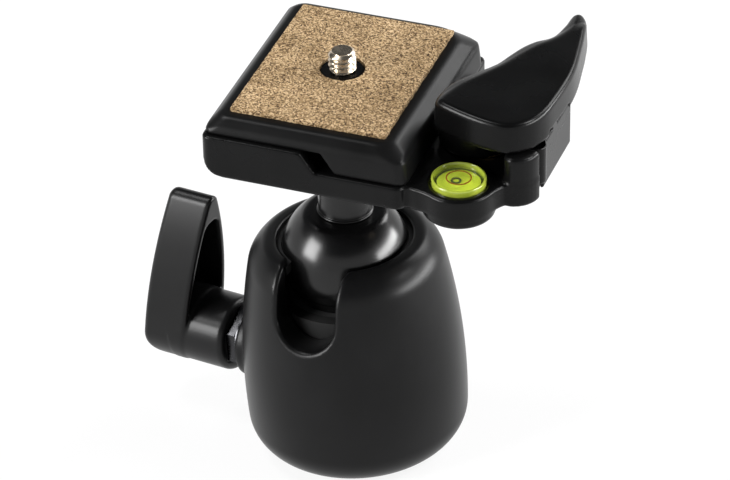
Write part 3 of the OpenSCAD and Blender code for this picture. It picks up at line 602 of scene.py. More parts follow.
# %% Ball
BALL_R = 15.0
FLAT_Z, FLAT_EDGE_R = 11.8, 3.0
FOOT_CUT_R = 6.95
STUD_BORE_R, STUD_BORE_DEPTH = 4.05, 12

seat_z = np.sqrt(BALL_R ** 2 - FOOT_CUT_R ** 2)
bore_foot = seat_z - STUD_BORE_DEPTH
edge_z = FLAT_Z - FLAT_EDGE_R
edge_x = np.sqrt((BALL_R - FLAT_EDGE_R) ** 2 - edge_z ** 2)
edge_start = np.degrees(np.arctan2(edge_z, edge_x))
ball_profile = np.concatenate([
    arc_rows(BALL_R, (0, 0), -90, edge_start, 64),
    arc_rows(FLAT_EDGE_R, (edge_x, edge_z), edge_start, 90, 12)[1:],
    [[STUD_BORE_R, FLAT_Z], [STUD_BORE_R, bore_foot], [0, bore_foot]]])
ball = lathe("polished_ball", ball_profile, neck_bench, 128)
dress(ball_black, "polished_ball")
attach(ball, "ball")
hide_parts("ball")

# %% [markdown]
# ## The neck
#
# The neck turns in the ball by a stud, stands on the flat with a fine round foot and
# flares out under the platform. It is turned too, so it is a profile of straight lines
# whose corners are softened, each by its own radius.

# %% Neck
STUD_R, STUD_DEPTH = 4, 11.9
FOOT_Z, FOOT_R, FOOT_H = FLAT_Z + 0.1, 6.5, 0.5
STEM_R, STEM_FROM, STEM_TOP = 6.15, FLAT_Z + 0.8, 29.4
FLARE_R, NECK_TOP = 10, 34.65
TAPPED_R, TAPPED_FOOT = 3.05, 22.2

stud_foot = seat_z - STUD_DEPTH
neck_profile = softened([
    (0, stud_foot, 0), (STUD_R, stud_foot, 0.3), (STUD_R, FOOT_Z, 0), (FOOT_R, FOOT_Z, 0.2),
    (FOOT_R, FOOT_Z + FOOT_H, 0.2), (STEM_R, STEM_FROM, 0.1), (STEM_R, STEM_TOP, 1.5),
    (FLARE_R, NECK_TOP, 0.3), (TAPPED_R, NECK_TOP, 0), (TAPPED_R, TAPPED_FOOT, 0), (0, TAPPED_FOOT, 0)])
neck = lathe("neck_stem", neck_profile, neck_bench, 144)
dress(ball_black, "neck_stem")
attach(neck, "head")
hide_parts("neck_post")

# %% [markdown]
# ## The locking knob
#
# The knob is moulded round a hexagonal insert. Seen along its axis it is a teardrop, round
# at the hub and drawn in to a thin tip by two flat arcs. Seen from the front its outer
# face is a long curve, and its back is hollowed so that the plastic cools evenly. Cutting
# that out of a box with booleans would leave sharp inner corners, so it is a field too.

# %% Knob
TEAR_R, TIP_HALF, TIP_U, TIP_EDGE = 9.1, 1.6, 36.8, 1.5
FACE_R, FACE_Z, FACE_LEAN = 890, 53.5, np.radians(9)
FACE_EDGE, HEEL_EDGE, HEEL_REACH = 1.4, 2.6, 7
BACK_Z, BACK_RUN, BACK_FOOT, BACK_EDGE = 42, 6.6, 18.2, 0.9
HUB_R, HUB_FOOT, HUB_TOP, HUB_EDGE, HUB_FILLET = 9, 31.2, 46, 1.6, 0.5
WALL, HUB_CLEAR_R, HOLLOW_FROM, HOLLOW_TO, HOLLOW_Z = 1.8, 9.2, 3, 29.6, 46.7
HOLLOW_EDGE, HOLLOW_END_R, HOLLOW_FLOOR_R = 0.6, 1.5, 1.0
HEXAGON_HALF, HEXAGON_Z = 6.55, 37.2
SIN_30, COS_30 = 0.5, np.sqrt(0.75)
CORE_R, CORE_Z = 4.05, 44.7

flank_r = ((TEAR_R - TIP_HALF) ** 2 + TIP_U ** 2) / (2 * (TEAR_R - TIP_HALF))
lean_u, lean_z = FACE_R * np.sin(FACE_LEAN), FACE_R * np.cos(FACE_LEAN)
print(f"the knob's flanks have a radius of {flank_r:.1f} mm")


def teardrop(u, w, r):
    """Round below the axis, and above it the nearer of two circles of radius flank_r
    whose centres lie far out on the opposite side."""
    return np.where(u > 0, np.hypot(u, np.abs(w) + flank_r - r) - flank_r, np.hypot(u, w) - r)


def knob_field(x, y, z):
    """The arm between its outer curve and its slanted back, joined with the hub, less the
    hollow, the insert's pocket and the screw's bore. Up is -x, out is z."""
    u = -x
    middle = np.hypot(x, y)
    tear = meet(teardrop(u, y, TEAR_R), u - TIP_U, TIP_EDGE)
    outer = np.hypot(u + lean_u, z - FACE_Z + lean_z) - FACE_R
    back_end = (BACK_Z + BACK_RUN * BACK_FOOT / TIP_U, -BACK_FOOT)
    back = slope(z, u, (BACK_Z - BACK_RUN, TIP_U), back_end)
    edge = FACE_EDGE + HEEL_EDGE * np.clip(-u / HEEL_REACH, 0, 1) ** 2
    arm = meet(meet(tear, outer, edge), back, BACK_EDGE)
    hub = np.maximum(meet(middle - HUB_R, HUB_FOOT - z, HUB_EDGE), z - HUB_TOP)
    solid = join(arm, hub, HUB_FILLET)
    hollow = meet(teardrop(u, y, TEAR_R) + WALL, HUB_CLEAR_R - middle, HOLLOW_EDGE)
    hollow = meet(meet(hollow, u - HOLLOW_TO, HOLLOW_END_R), z - HOLLOW_Z, HOLLOW_FLOOR_R)
    solid = meet(solid, -np.maximum(hollow, HOLLOW_FROM - u), HOLLOW_EDGE)
    slanted = np.abs(y) * SIN_30 + np.abs(x) * COS_30
    hexagon = np.maximum(np.abs(y), slanted) - HEXAGON_HALF
    pocket = np.minimum(np.maximum(hexagon, z - HEXAGON_Z), np.maximum(middle - CORE_R, z - CORE_Z))
    return np.maximum(solid, -pocket)


wing = skin("knob_wing", knob_field, (-37, -9.3, 31), (9.3, 9.3, 54.8), 0.42, knob_bench)
dress(moulded, "knob_wing")
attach(wing, "knob")
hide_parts("knob_lever")

# %% [markdown]
# ## The clamp screw
#
# The knob's screw runs through the boss to a cone that lifts the ball's seat. A little of
# it can be seen between the knob and the boss, so its thread has to be real. A displaced
# picture would fray at the outline; here the lathe's radius winds with the angle.

# %% Clamp screw with its thread
CLAMP_R, CLAMP_FOOT, CLAMP_END = 4, 5.8, 44.5
CONE_TIP_R, CONE_TOP = 0.8, 9
CLAMP_PITCH, CLAMP_DEPTH, CLAMP_THREAD, CLAMP_ROWS = 1.25, 0.6, (10, 44), 0.14

screw_profile = rows_along(np.array([
    [0, CLAMP_FOOT], [CONE_TIP_R, CLAMP_FOOT], [CLAMP_R, CONE_TOP], [CLAMP_R, CLAMP_END],
    [0, CLAMP_END]]), CLAMP_ROWS)
clamp_thread = wound(CLAMP_PITCH, CLAMP_DEPTH, *CLAMP_THREAD)
clamp = lathe("clamp_stud", screw_profile, knob_bench, 64, bend=clamp_thread)
dress(dark_steel, "clamp_stud")
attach(clamp, "knob")
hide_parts("clamp_screw")

# %% [markdown]
# ## The platform
#
# The platform is a second casting. Its left half is a raised block with a hooked groove
# for the camera plate, its right half a thin floor, and from that floor an arm runs out
# that carries the level on a round lobe and the lever on a low wall. The arm's outline
# flows from one to the next because the fields are joined with a fillet. The places of
# the level, the lever's pivot and the catch's pin are named once and used by every part
# that sits there.

# %% Platform: places and sizes
LEVEL = (34.7, -21.8)
PIVOT = (35.1, -4.9)
CATCH_PIN = (49.0, -11.5)

BASE_LEFT, BASE_RIGHT, BASE_HALF, BASE_CORNER = -22.9, 24.2, 29.3, 2.2
FLOOR_Z, BLOCK_Z, WALL_Z = 5.5, 10.1, 12.1
STEP_FOOT_X, STEP_TOP_X = 3.8, 0.4
KEEL_X, KEEL_R = -17.3, 5.6
LOBE_R, LOBE_TOP, LOBE_FOOT, LOBE_FILLET = 8.2, 5.3, -2.1, 3.0
WALL_X, WALL_END_R = 43.7, 3
GROOVE_X, GROOVE_HALF, GROOVE_Z = -13.3, 21, 6.3
HOOK_LIP, HOOK_DEEP, HOOK_TOP, HOOK_FOOT = -18.1, -20.1, 9.8, 7.2
PIVOT_BORE_R, LEVER_ROOM_R, NUT_ROOM_R, NUT_ROOM_Z = 3.05, 10.9, 5.2, 2
LEVEL_ROOM_R, LEVEL_ROOM_Z = 6.35, 0.85
WELL_R, WELL_Z, SCREW_HEAD_R, SCREW_HEAD_Z, SCREW_HOLE_R = 9.5, 4, 5.7, 1.4, 3.2
CATCH_ROOM_X, CATCH_ROOM_Y = 48.5, (-14.1, 9.5)
KNUCKLE_ROOM_R, KNUCKLE_ROOM_Z, PIN_R, PIN_Z = 2.6, 2.3, 1.05, 1
TOP_EDGE, STEP_EDGE, STEP_FILLET, KEEL_EDGE, UNDER_EDGE = 0.5, 0.5, 0.4, 0.1, 0.7
ARM_EDGE, ARM_FILLET, WALL_EDGE, WALL_FILLET = 0.6, 0.6, 0.9, 0.8
LOBE_EDGE, LOBE_FOOT_EDGE, LOBE_ROOT = 0.4, 1.4, 0.5
ROOM_EDGE, LEVER_ROOM_EDGE = 0.3, 0.4

WING = np.concatenate([
    [(21.2, -27.3), (26.8, -27.7), (34.7, -25.8)],
    arc_rows(6, (44.7, -14), -90, 0, 10),
    arc_rows(7.2, (43.5, 2), 0, 54, 10),
    [(32.2, 19.3), (21.2, 23.3)]])


# %% Platform
def platform_body(x, y, z):
    """The raised block and the floor, then the arm with its wall and lobe, joined."""
    ay = np.abs(y)
    plan = meet(meet(ay - BASE_HALF, BASE_LEFT - x, BASE_CORNER), x - BASE_RIGHT, BASE_CORNER)
    block = meet(z - BLOCK_Z, slope(x, z, (STEP_FOOT_X, FLOOR_Z), (STEP_TOP_X, BLOCK_Z)), STEP_EDGE)
    solid = meet(plan, join(z - FLOOR_Z, block, STEP_FILLET), TOP_EDGE)
    solid = meet(solid, BASE_LEFT - x, KEEL_EDGE)
    keel = np.hypot(np.minimum(x - KEEL_X, 0), np.minimum(z - KEEL_R, 0)) - KEEL_R
    solid = meet(solid, np.where((x < KEEL_X) & (z < KEEL_R), keel, -FAR), KEEL_EDGE)
    arm_plan = outline(WING, x, y)
    lobe = disc(x, y, LEVEL, LOBE_R)
    arm = meet(join(arm_plan, lobe, LOBE_FILLET), z - FLOOR_Z, ARM_EDGE)
    wall = meet(meet(arm_plan, WALL_X - x, WALL_END_R), z - WALL_Z, WALL_EDGE)
    solid = join(solid, join(arm, wall, WALL_FILLET), ARM_FILLET)
    solid = meet(solid, -z, UNDER_EDGE)
    cup = meet(meet(lobe, z - LOBE_TOP, LOBE_EDGE), LOBE_FOOT - z, LOBE_FOOT_EDGE)
    return join(solid, cup, LOBE_ROOT)


def hooked_groove(x, y, z):
    """The plate's groove: a slot whose left side is undercut by a slanted hook."""
    slot = np.maximum(np.maximum(x - GROOVE_X, np.abs(y) - GROOVE_HALF), GROOVE_Z - z)
    hook = np.maximum(HOOK_DEEP - x, slope(x, z, (HOOK_LIP, HOOK_TOP), (HOOK_DEEP, HOOK_FOOT)))
    return np.maximum(slot, np.minimum(HOOK_LIP - x, hook))


def platform_field(x, y, z):
    """The body less the groove and every pocket and bore."""
    solid = meet(platform_body(x, y, z), -hooked_groove(x, y, z), ROOM_EDGE)
    solid = meet(solid, -np.maximum(disc(x, y, PIVOT, LEVER_ROOM_R), FLOOR_Z - z), LEVER_ROOM_EDGE)
    nut = np.maximum(disc(x, y, PIVOT, NUT_ROOM_R), z - NUT_ROOM_Z)
    solid = np.maximum(solid, -np.minimum(disc(x, y, PIVOT, PIVOT_BORE_R), nut))
    level_room = np.maximum(disc(x, y, LEVEL, LEVEL_ROOM_R), LEVEL_ROOM_Z - z)
    solid = meet(solid, -level_room, ROOM_EDGE)
    middle = np.hypot(x, y)
    well = np.minimum(np.maximum(middle - WELL_R, WELL_Z - z),
                      np.maximum(middle - SCREW_HEAD_R, SCREW_HEAD_Z - z))
    solid = meet(solid, -np.minimum(well, middle - SCREW_HOLE_R), ROOM_EDGE)
    catch = np.maximum(np.maximum(CATCH_ROOM_X - x, CATCH_ROOM_Y[0] - y), y - CATCH_ROOM_Y[1])
    knuckle = np.maximum(disc(x, y, CATCH_PIN, KNUCKLE_ROOM_R), KNUCKLE_ROOM_Z - z)
    pin = np.maximum(disc(x, y, CATCH_PIN, PIN_R), PIN_Z - z)
    return np.maximum(solid, -np.minimum(np.minimum(catch, knuckle), pin))


base = skin("platform_casting", platform_field, (-23, -31, -2.2), (51, 30, 12.2), 0.5, deck)
dress(satin_coat, "platform_casting")
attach(base, "head")
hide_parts("platform_base")

# %% [markdown]
# ## The camera plate
#
# The plate is bevelled all round its top, and its sides spread a little so that it lets go
# of the mould. Each face is one sloping plane, and the planes meet in small round edges.
# A bevelled cube would come close, but its two right-hand corners have their own radii.

# %% Camera plate
PLATE_Z, BEVEL_Z, PLATE_FOOT = 13.9, 11.4, 5.6
END_Y = (28.5, 27.9, 25.5)
RIGHT_X = (24.5, 23.9, 20.2)
LEFT_X = (-22.6, -20.2)
FRONT_CORNER, REAR_CORNER, LEFT_CORNER = 2.4, 4.5, 2.2
SEAT_Z = 10.2
TONGUE_TOP_X, TONGUE_FOOT_X = 4.7, 8.1
RIB_X, RIB_HALF, RIB_Z = -13.6, 20.5, 6.6
HOOK_X, HOOK_END_X, HOOK_Z = -17.8, -19.8, 7.2
PLATE_BORE_R, HEAD_ROOM_R, HEAD_ROOM_Z = 2.7, 8.4, 12.5
RIDGE_EDGE, FACE_ROUND, TONGUE_EDGE, RIB_TOP = 0.8, 0.6, 0.4, 11


def plate_field(x, y, z):
    """Top, bevels and sides as planes, less the room for the screw, plus the rib."""
    ay = np.abs(y)
    end = meet(slope(ay, z, (END_Y[1], BEVEL_Z), (END_Y[2], PLATE_Z)),
               slope(ay, z, (END_Y[0], 0), (END_Y[1], BEVEL_Z)), RIDGE_EDGE)
    right = meet(slope(x, z, (RIGHT_X[1], BEVEL_Z), (RIGHT_X[2], PLATE_Z)),
                 slope(x, z, (RIGHT_X[0], PLATE_FOOT), (RIGHT_X[1], BEVEL_Z)), RIDGE_EDGE)
    left_bevel = -slope(x, z, (LEFT_X[0], BEVEL_Z), (LEFT_X[1], PLATE_Z))
    left = meet(left_bevel, LEFT_X[0] - x, FACE_ROUND)
    corner = np.where(y > 0, REAR_CORNER, FRONT_CORNER)
    solid = meet(meet(meet(end, right, corner), left, LEFT_CORNER), z - PLATE_Z, FACE_ROUND)
    side = slope(x, z, (TONGUE_TOP_X, SEAT_Z), (TONGUE_FOOT_X, PLATE_FOOT))
    tongue = meet(PLATE_FOOT - z, side, TONGUE_EDGE)
    solid = meet(solid, np.minimum(SEAT_Z - z, tongue), TONGUE_EDGE)
    rib = np.maximum(np.maximum(x - RIB_X, ay - RIB_HALF), RIB_Z - z)
    hook = np.maximum(HOOK_END_X - x, z - HOOK_Z)
    rib = np.maximum(rib, np.minimum(HOOK_X - x, hook))
    solid = np.minimum(solid, np.maximum(rib, z - RIB_TOP))
    middle = np.hypot(x, y)
    room = np.minimum(middle - PLATE_BORE_R, np.maximum(middle - HEAD_ROOM_R, z - HEAD_ROOM_Z))
    return np.maximum(solid, -room)


plate = skin("camera_plate", plate_field, (-23, -29, 5.5), (25, 29, 14), 0.46, deck)
dress(plate_coat, "camera_plate")
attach(plate, "head")
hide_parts("quick_plate")

# %% [markdown]
# ## The cork face
#
# The pad is a sheet with a hole. Its grid runs from the hole's foot up, out over the face
# and down the outer edge. A table of seeded random numbers, blended between its entries,
# lifts the face by a tenth of a millimetre and frays the edge, as die-cut cork does. A
# bump alone would leave the edge as straight as a ruler.

# %% Cork pad
LUMPS = 160
lumps = np.random.default_rng(5).uniform(-1, 1, (LUMPS, LUMPS))

CORK_RIGHT, CORK_LEFT, CORK_HALF, CORK_HOLE_R = 18.4, 18.0, 23.4, 5.15
CORK_FOOT, CORK_TOP = 13.92, 14.86
LUMP_MM, LUMP_HEIGHT = 0.7, 0.1
EDGE_FROM, EDGE_FRAY, EDGE_DROP = 0.93, 0.006, 0.12
TABLE_START = 60
CORK_COLUMNS, CORK_RINGS = 480, 70


def lump(x, y, size):
    """Value noise: the four nearest table entries, weighted by a smooth step."""
    x, y = x / size + TABLE_START, y / size + TABLE_START
    i, j = np.floor(x).astype(int), np.floor(y).astype(int)
    u, v = x - i, y - j
    u, v = u * u * (3 - 2 * u), v * v * (3 - 2 * v)
    i, j = i % LUMPS, j % LUMPS
    k, m = (i + 1) % LUMPS, (j + 1) % LUMPS
    return ((lumps[i, j] * (1 - u) + lumps[k, j] * u) * (1 - v)
            + (lumps[i, m] * (1 - u) + lumps[k, m] * u) * v)


def cork_grid():
    """Rows: hole's foot, hole's rim, rings out to the outline, and the edge's foot. A
    ring is a blend of the hole's circle and the outline, where the reach is the half
    width over the cosine or the half length over the sine, whichever is less."""
    a = np.linspace(0, 2 * np.pi, CORK_COLUMNS, endpoint=False)
    c, s = np.cos(a), np.sin(a)
    half = np.where(c > 0, CORK_RIGHT, CORK_LEFT)
    reach = np.minimum(half / np.maximum(np.abs(c), 1e-9), CORK_HALF / np.maximum(np.abs(s), 1e-9))
    inner = np.stack([CORK_HOLE_R * c, CORK_HOLE_R * s], axis=1)
    outer = np.stack([reach * c, reach * s], axis=1)
    t = np.linspace(0, 1, CORK_RINGS)[:, None, None]
    flat = inner * (1 - t) + outer * t
    fray = lump(flat[..., 0], flat[..., 1], LUMP_MM)
    edge = np.clip((t[..., 0] - EDGE_FROM) / (1 - EDGE_FROM), 0, 1)
    flat = flat * (1 - EDGE_FRAY * edge * (1 + fray))[..., None]
    top = CORK_TOP + LUMP_HEIGHT * fray - EDGE_DROP * edge ** 3
    face = np.concatenate([flat, top[..., None]], axis=2)
    foot_in = np.concatenate([inner, np.full((CORK_COLUMNS, 1), CORK_FOOT)], axis=1)[None]
    foot_out = face[-1:] * [1, 1, 0] + [0, 0, CORK_FOOT]
    return np.concatenate([foot_in, face, foot_out])


grid = cork_grid()
cork_faces = grid_faces(len(grid), CORK_COLUMNS, close_rows=True)
pad = new_object("cork_sheet", grid.reshape(-1, 3), cork_faces, deck, sharp=60)
dress(cork, "cork_sheet")
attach(pad, "head")
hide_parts("cork_pad")

# %% [markdown]
# ## The camera screw
#
# The bright stud is a quarter-inch thread with 20 turns to the inch, a pitch of 1.27 mm.
# Its profile is carried round while the groove winds up it, and a short cone eases the
# thread's start. The shank below and the screw's head stay hidden under the cork.

# %% Camera screw
HEAD_R, HEAD_FOOT, HEAD_TOP = 8, 10.3, 12.2
SHANK_R, SHANK_TOP = 2.4, 14.9
THREAD_R, THREAD_FOOT, THREAD_TOP = 3.17, 15.0, 18.85
STUD_TIP_R, STUD_TOP = 2.5, 19.48
STUD_PITCH, STUD_THREAD_DEPTH, STUD_THREAD, STUD_ROWS = 1.27, 0.62, (14.6, 19.7), 0.1

stud_profile = rows_along(softened([
    (0, HEAD_FOOT, 0), (HEAD_R, HEAD_FOOT, 0.3), (HEAD_R, HEAD_TOP, 0.3), (SHANK_R, HEAD_TOP, 0.2),
    (SHANK_R, SHANK_TOP, 0), (THREAD_R, THREAD_FOOT, 0), (THREAD_R, THREAD_TOP, 0),
    (STUD_TIP_R, STUD_TOP, 0.15), (0, STUD_TOP, 0)]), STUD_ROWS)
stud_thread = wound(STUD_PITCH, STUD_THREAD_DEPTH, *STUD_THREAD)
stud = lathe("camera_stud", stud_profile, deck, 96, bend=stud_thread, sharp=40)
dress(steel, "camera_stud")
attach(stud, "camera_screw")
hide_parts("camera_screw")

# %% [markdown]
# ## The lever
#
# The clamp lever is a flat casting with a thumb tip, rounded all round its upper edge. Its
# outline is a smooth curve through two dozen points: between two of them it is a cubic
# that leaves each in the direction of its neighbours. Subdivision could smooth it too,
# but it would draw the outline in and soften the edges by the same amount.

# %% The lever's outline
LEVER = np.array([
    (-9.7, -3.6), (-9.5, -7), (-7.6, -9.4), (-0.5, -12.3), (5.8, -13.8), (10.3, -13.4), (13.9, -10.2),
    (15.9, -5.3), (16.6, 1.9), (16.8, 9.8), (16.4, 15.6), (15.4, 21.9), (14.2, 28.5), (12.6, 35), (10.6, 38),
    (8.2, 37), (7.7, 32.2), (6.5, 26.7), (3.5, 23.6), (1.4, 20.3), (-0.3, 16), (-1.9, 11.7), (-5.2, 6.8),
    (-8.4, 1.7)])


def smooth(p, k):
    """Each stretch from b to c, with neighbours a and d, as one cubic in t."""
    a, b, c, d = np.roll(p, 1, 0), p, np.roll(p, -1, 0), np.roll(p, -2, 0)
    t = (np.arange(k) / k)[None, :, None]
    a, b, c, d = (q[:, None] for q in (a, b, c, d))
    curve = 0.5 * (2 * b + (c - a) * t + (2 * a - 5 * b + 4 * c - d) * t ** 2
                   + (3 * b - a - 3 * c + d) * t ** 3)
    return curve.reshape(-1, 2)


lever_line = smooth(LEVER, 5)
print("points of the lever's outline:", len(lever_line))

# %% Lever
LEVER_FOOT, LEVER_TOP, LEVER_DRAFT, LEVER_EDGE, LEVER_FOOT_EDGE = 12.4, 19.8, 0.05, 1.1, 0.9
ROLL_DEPTH, ROLL_WIDTH = 1.2, 4.5
THUMB_START, THUMB_WAY = (-10.8, -2.9), (0.888, -0.461)
THUMB_REACH, THUMB_FADE = 6, 3
CAM_X, CAM_R, CAM_FOOT, CAM_TOP, CAM_EDGE = -2, 8.3, 6.05, 13.5, 0.4
LEVER_BORE_R, LEVER_BORE_Z, SPRING_ROOM_R, SPRING_ROOM_Z = 3.05, 16.4, 5, 9.4
NOSE_IN, NOSE_OUT, NOSE_Z, NOSE_FROM, NOSE_TO = 13.1, 18.6, 14, -14, 110


def lever_field(x, y, z):
    """The outline between its foot and its top, a little narrower towards the top, which
    rolls off along the thumb's side by ROLL_DEPTH times the square of the way into the
    roll. The cam is below it; the pivot's bore, the spring's room and the groove for the
    catch's nose are taken out."""
    plan = outline(lever_line, x, y) + LEVER_DRAFT * (z - LEVER_FOOT)
    inward = (x - THUMB_START[0]) * THUMB_WAY[0] + (y - THUMB_START[1]) * THUMB_WAY[1]
    roll = (np.clip((plan + ROLL_WIDTH) / ROLL_WIDTH, 0, 1)
            * np.clip((THUMB_REACH - inward) / THUMB_FADE, 0, 1))
    solid = meet(plan, z - LEVER_TOP + ROLL_DEPTH * roll ** 2, LEVER_EDGE)
    solid = meet(solid, LEVER_FOOT - z, LEVER_FOOT_EDGE)
    cam = np.maximum(np.hypot(x - CAM_X, y) - CAM_R, z - CAM_TOP)
    solid = join(solid, meet(cam, CAM_FOOT - z, CAM_EDGE), CAM_EDGE)
    middle = np.hypot(x, y)
    bore = np.minimum(np.maximum(middle - LEVER_BORE_R, z - LEVER_BORE_Z),
                      np.maximum(middle - SPRING_ROOM_R, z - SPRING_ROOM_Z))
    angle = np.degrees(np.arctan2(y, x))
    groove = np.maximum(np.maximum(NOSE_IN - middle, middle - NOSE_OUT), z - NOSE_Z)
    groove = np.maximum(groove, np.where((angle > NOSE_FROM) & (angle < NOSE_TO), -FAR, FAR))
    return np.maximum(solid, -np.minimum(bore, groove))


lever_bench = Bench(deck.turn, deck.origin + deck.turn @ [*PIVOT, 0])
blade = skin("lever_blade", lever_field, (-11, -15, 6), (17.5, 39, 19.9), 0.4, lever_bench)
dress(satin_coat, "lever_blade")
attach(blade, "lever")
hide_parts("clamp_lever")

# %% [markdown]
# ## The safety catch
#
# Beside the wall stands a thin plate that keeps the lever from opening by itself. It
# swings on a pin in its knuckle, and its nose reaches up into the lever's groove. Two
# boxes and a cylinder would do, but their edges catch no light, so it is one more field.

# %% Safety catch
CATCH_X, CATCH_Y, CATCH_Z = (49.75, 0.95), (-1.5, 10), (6.3, 5.7)
CATCH_KNUCKLE_R, CATCH_KNUCKLE_Z = 2.3, (7.3, 4.7)
CATCH_NOSE_Y, CATCH_NOSE_Z = (-3.4, 1.5), (12.3, 1.3)
COIL_ROOM_R, COIL_ROOM_Z = 1.9, 8.6
CATCH_SIDE_EDGE, CATCH_TOP_EDGE, KNUCKLE_EDGE, KNUCKLE_FILLET = 0.6, 0.45, 0.3, 0.4


def between(v, span):
    """Distance from a slab given by its middle and its half width."""
    return np.abs(v - span[0]) - span[1]


def catch_field(x, y, z):
    """A thin plate, its knuckle and its nose, with the plate's and knuckle's edges eased,
    less the pin's bore and the spring's room."""
    flat = meet(between(x, CATCH_X), between(y, CATCH_Y), CATCH_SIDE_EDGE)
    flat = meet(flat, between(z, CATCH_Z), CATCH_TOP_EDGE)
    barrel = disc(x, y, CATCH_PIN, CATCH_KNUCKLE_R)
    knuckle = meet(barrel, between(z, CATCH_KNUCKLE_Z), KNUCKLE_EDGE)
    nose = np.maximum(between(x, CATCH_X), between(y, CATCH_NOSE_Y))
    nose = np.maximum(nose, between(z, CATCH_NOSE_Z))
    solid = np.minimum(join(flat, knuckle, KNUCKLE_FILLET), nose)
    room = np.maximum(disc(x, y, CATCH_PIN, COIL_ROOM_R), COIL_ROOM_Z - z)
    return np.maximum(solid, -np.minimum(disc(x, y, CATCH_PIN, PIN_R), room))


catch = skin("catch_blade", catch_field, (46.6, -14, 0.6), (51, 8.6, 13.7), 0.3, deck)
dress(satin_coat, "catch_blade")
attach(catch, "catch")
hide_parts("safety_catch")

# %% [markdown]
# ## The springs
#
# Two small coils close the lever and the catch. The engineering model stacks rings for
# them, which is enough to weigh and to collide. A real spring winds, so each is one tube
# along a helix.

# %% Springs
big = coil("lever_coil", radius=4.1, wire=1.0, turns=3.2, foot=6.05, height=3.2,
           centre=PIVOT, bench=deck)
small = coil("catch_coil", radius=1.5, wire=0.6, turns=3.4, foot=8.8, height=2.2,
             centre=CATCH_PIN, bench=deck)
dress(spring_steel, "lever_coil")
dress(dark_metal, "catch_coil")
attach(big, "head")
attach(small, "head")
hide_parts("lever_spring")
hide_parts("catch_spring")

# %% [markdown]
# ## The bubble level
#
# The level is a lime cup filled with dye under a clear dome. A dark ring round the dye is
# painted shade for the dark edge that refraction draws there, a ring is printed where the
# bubble should rest, and the bubble is drawn as a thin dark ring, painted shade for the
# refraction at its edge. All five are turned, so each is one short profile; the bubble sits a
# little off the middle, as it does on a head that leans.

# %% Level: cup, painted dark edge ring, dome, mark and bubble
CUP_R, CUP_TOP, CUP_FOOT, CUP_LIP_R, CUP_STEP_Z = 6.1, 6.8, 0.95, 5.6, 5.9
CUP_BORE_TOP_R, CUP_BORE_R, CUP_FLOOR = 5.35, 5.25, 2
DOME_R, DOME_FOOT, DOME_EDGE, DOME_RISE = 5.1, 5.75, 6.15, 0.5
BUBBLE = (34.0, -21.6)


def level_part(name, profile, mat, replaced, centre=LEVEL):
    """One turned part of the level, carried by the head."""
    part = lathe(name, profile, deck, 96, centre)
    dress(mat, name)
    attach(part, "head")
    if replaced:
        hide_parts(replaced)


def flat_ring(inner, outer, bottom, top):
    """The section of a flat ring."""
    return np.array([(inner, bottom), (outer, bottom), (outer, top), (inner, top), (inner, bottom)])


quarter = np.linspace(0, np.pi / 2, 16)
dome_curve = np.stack([DOME_R * np.cos(quarter), DOME_EDGE + DOME_RISE * np.sin(quarter)], axis=1)
dome_profile = np.concatenate([[[0, DOME_FOOT], [DOME_R, DOME_FOOT]], dome_curve])
cup_profile = softened([
    (0, CUP_FOOT, 0), (CUP_R, CUP_FOOT, 0.1), (CUP_R, CUP_TOP, 0.25), (CUP_LIP_R, CUP_TOP, 0.15),
    (CUP_BORE_TOP_R, CUP_STEP_Z, 0.1), (CUP_BORE_R, CUP_FLOOR, 0.1), (0, CUP_FLOOR, 0)])
level_part("level_cup", cup_profile, rim_lime, "vial_cup")
# A dark ring of painted shade round the dye's rim, for the dark edge that refraction draws there.
level_part("level_dark_edge_ring", flat_ring(4.85, 5.15, 5.42, 5.6), refraction_shade_mat, None)
level_part("level_dome", dome_profile, clear, "vial_lens")
level_part("level_mark", flat_ring(2.58, 2.86, 6.5, 6.62), ring_red, "vial_ring")
# The bubble's outline is a dark ring of painted shade for the refraction at its edge.
level_part("level_bubble", flat_ring(0.7, 1.2, 5.43, 5.6), refraction_shade_mat, "vial_bubble", BUBBLE)

# %% [markdown]
# ## The set
#
# A pale floor curves up into a low round wall, so that the object stands on the same
# white from every side. Brighter lamps could whiten a grey floor, but they would wash out
# the object. Instead, what the camera or a reflection sees of the set is for the most part
# a glow of strength 1, which is white, and for the rest pale paint, which takes the
# object's shadow. For the light that it bounces, the set is that paint alone.

# %% Set
FLOOR_R, COVE_R, WALL_TOP = 2.4, 0.5, 1.25
GLOW_SHARE = 0.86

turn = np.linspace(0, np.pi / 2, 12)
bend = np.stack([FLOOR_R + COVE_R * np.sin(turn), COVE_R - COVE_R * np.cos(turn)], axis=1)
cove = np.concatenate([[[0, 0]], bend, [[FLOOR_R + COVE_R, WALL_TOP]]]) * 1000
stage = lathe("set", cove, ground, 96, sharp=None)
stage.data.flip_normals()
white, tree, shader = finish("set_white", (0.9, 0.9, 0.9), 0.9, specular=0.0)
glow = node(tree, "ShaderNodeEmission", Strength=1.0)
ray = node(tree, "ShaderNodeLightPath")
either = node(tree, "ShaderNodeMath", operation="MAXIMUM")
any_ray = node(tree, "ShaderNodeMath", operation="MAXIMUM")
share = node(tree, "ShaderNodeMath", operation="MULTIPLY")
share.inputs[1].default_value = GLOW_SHARE
mixer = node(tree, "ShaderNodeMixShader")
tree.links.new(ray.outputs["Is Camera Ray"], either.inputs[0])
tree.links.new(ray.outputs["Is Glossy Ray"], either.inputs[1])
tree.links.new(either.outputs[0], any_ray.inputs[0])
tree.links.new(ray.outputs["Is Transmission Ray"], any_ray.inputs[1])
tree.links.new(any_ray.outputs[0], share.inputs[0])
tree.links.new(share.outputs[0], mixer.inputs["Fac"])
tree.links.new(shader.outputs[0], mixer.inputs[1])
tree.links.new(glow.outputs[0], mixer.inputs[2])
tree.links.new(mixer.outputs[0], tree.nodes["Material Output"].inputs["Surface"])
stage.data.materials.append(white)

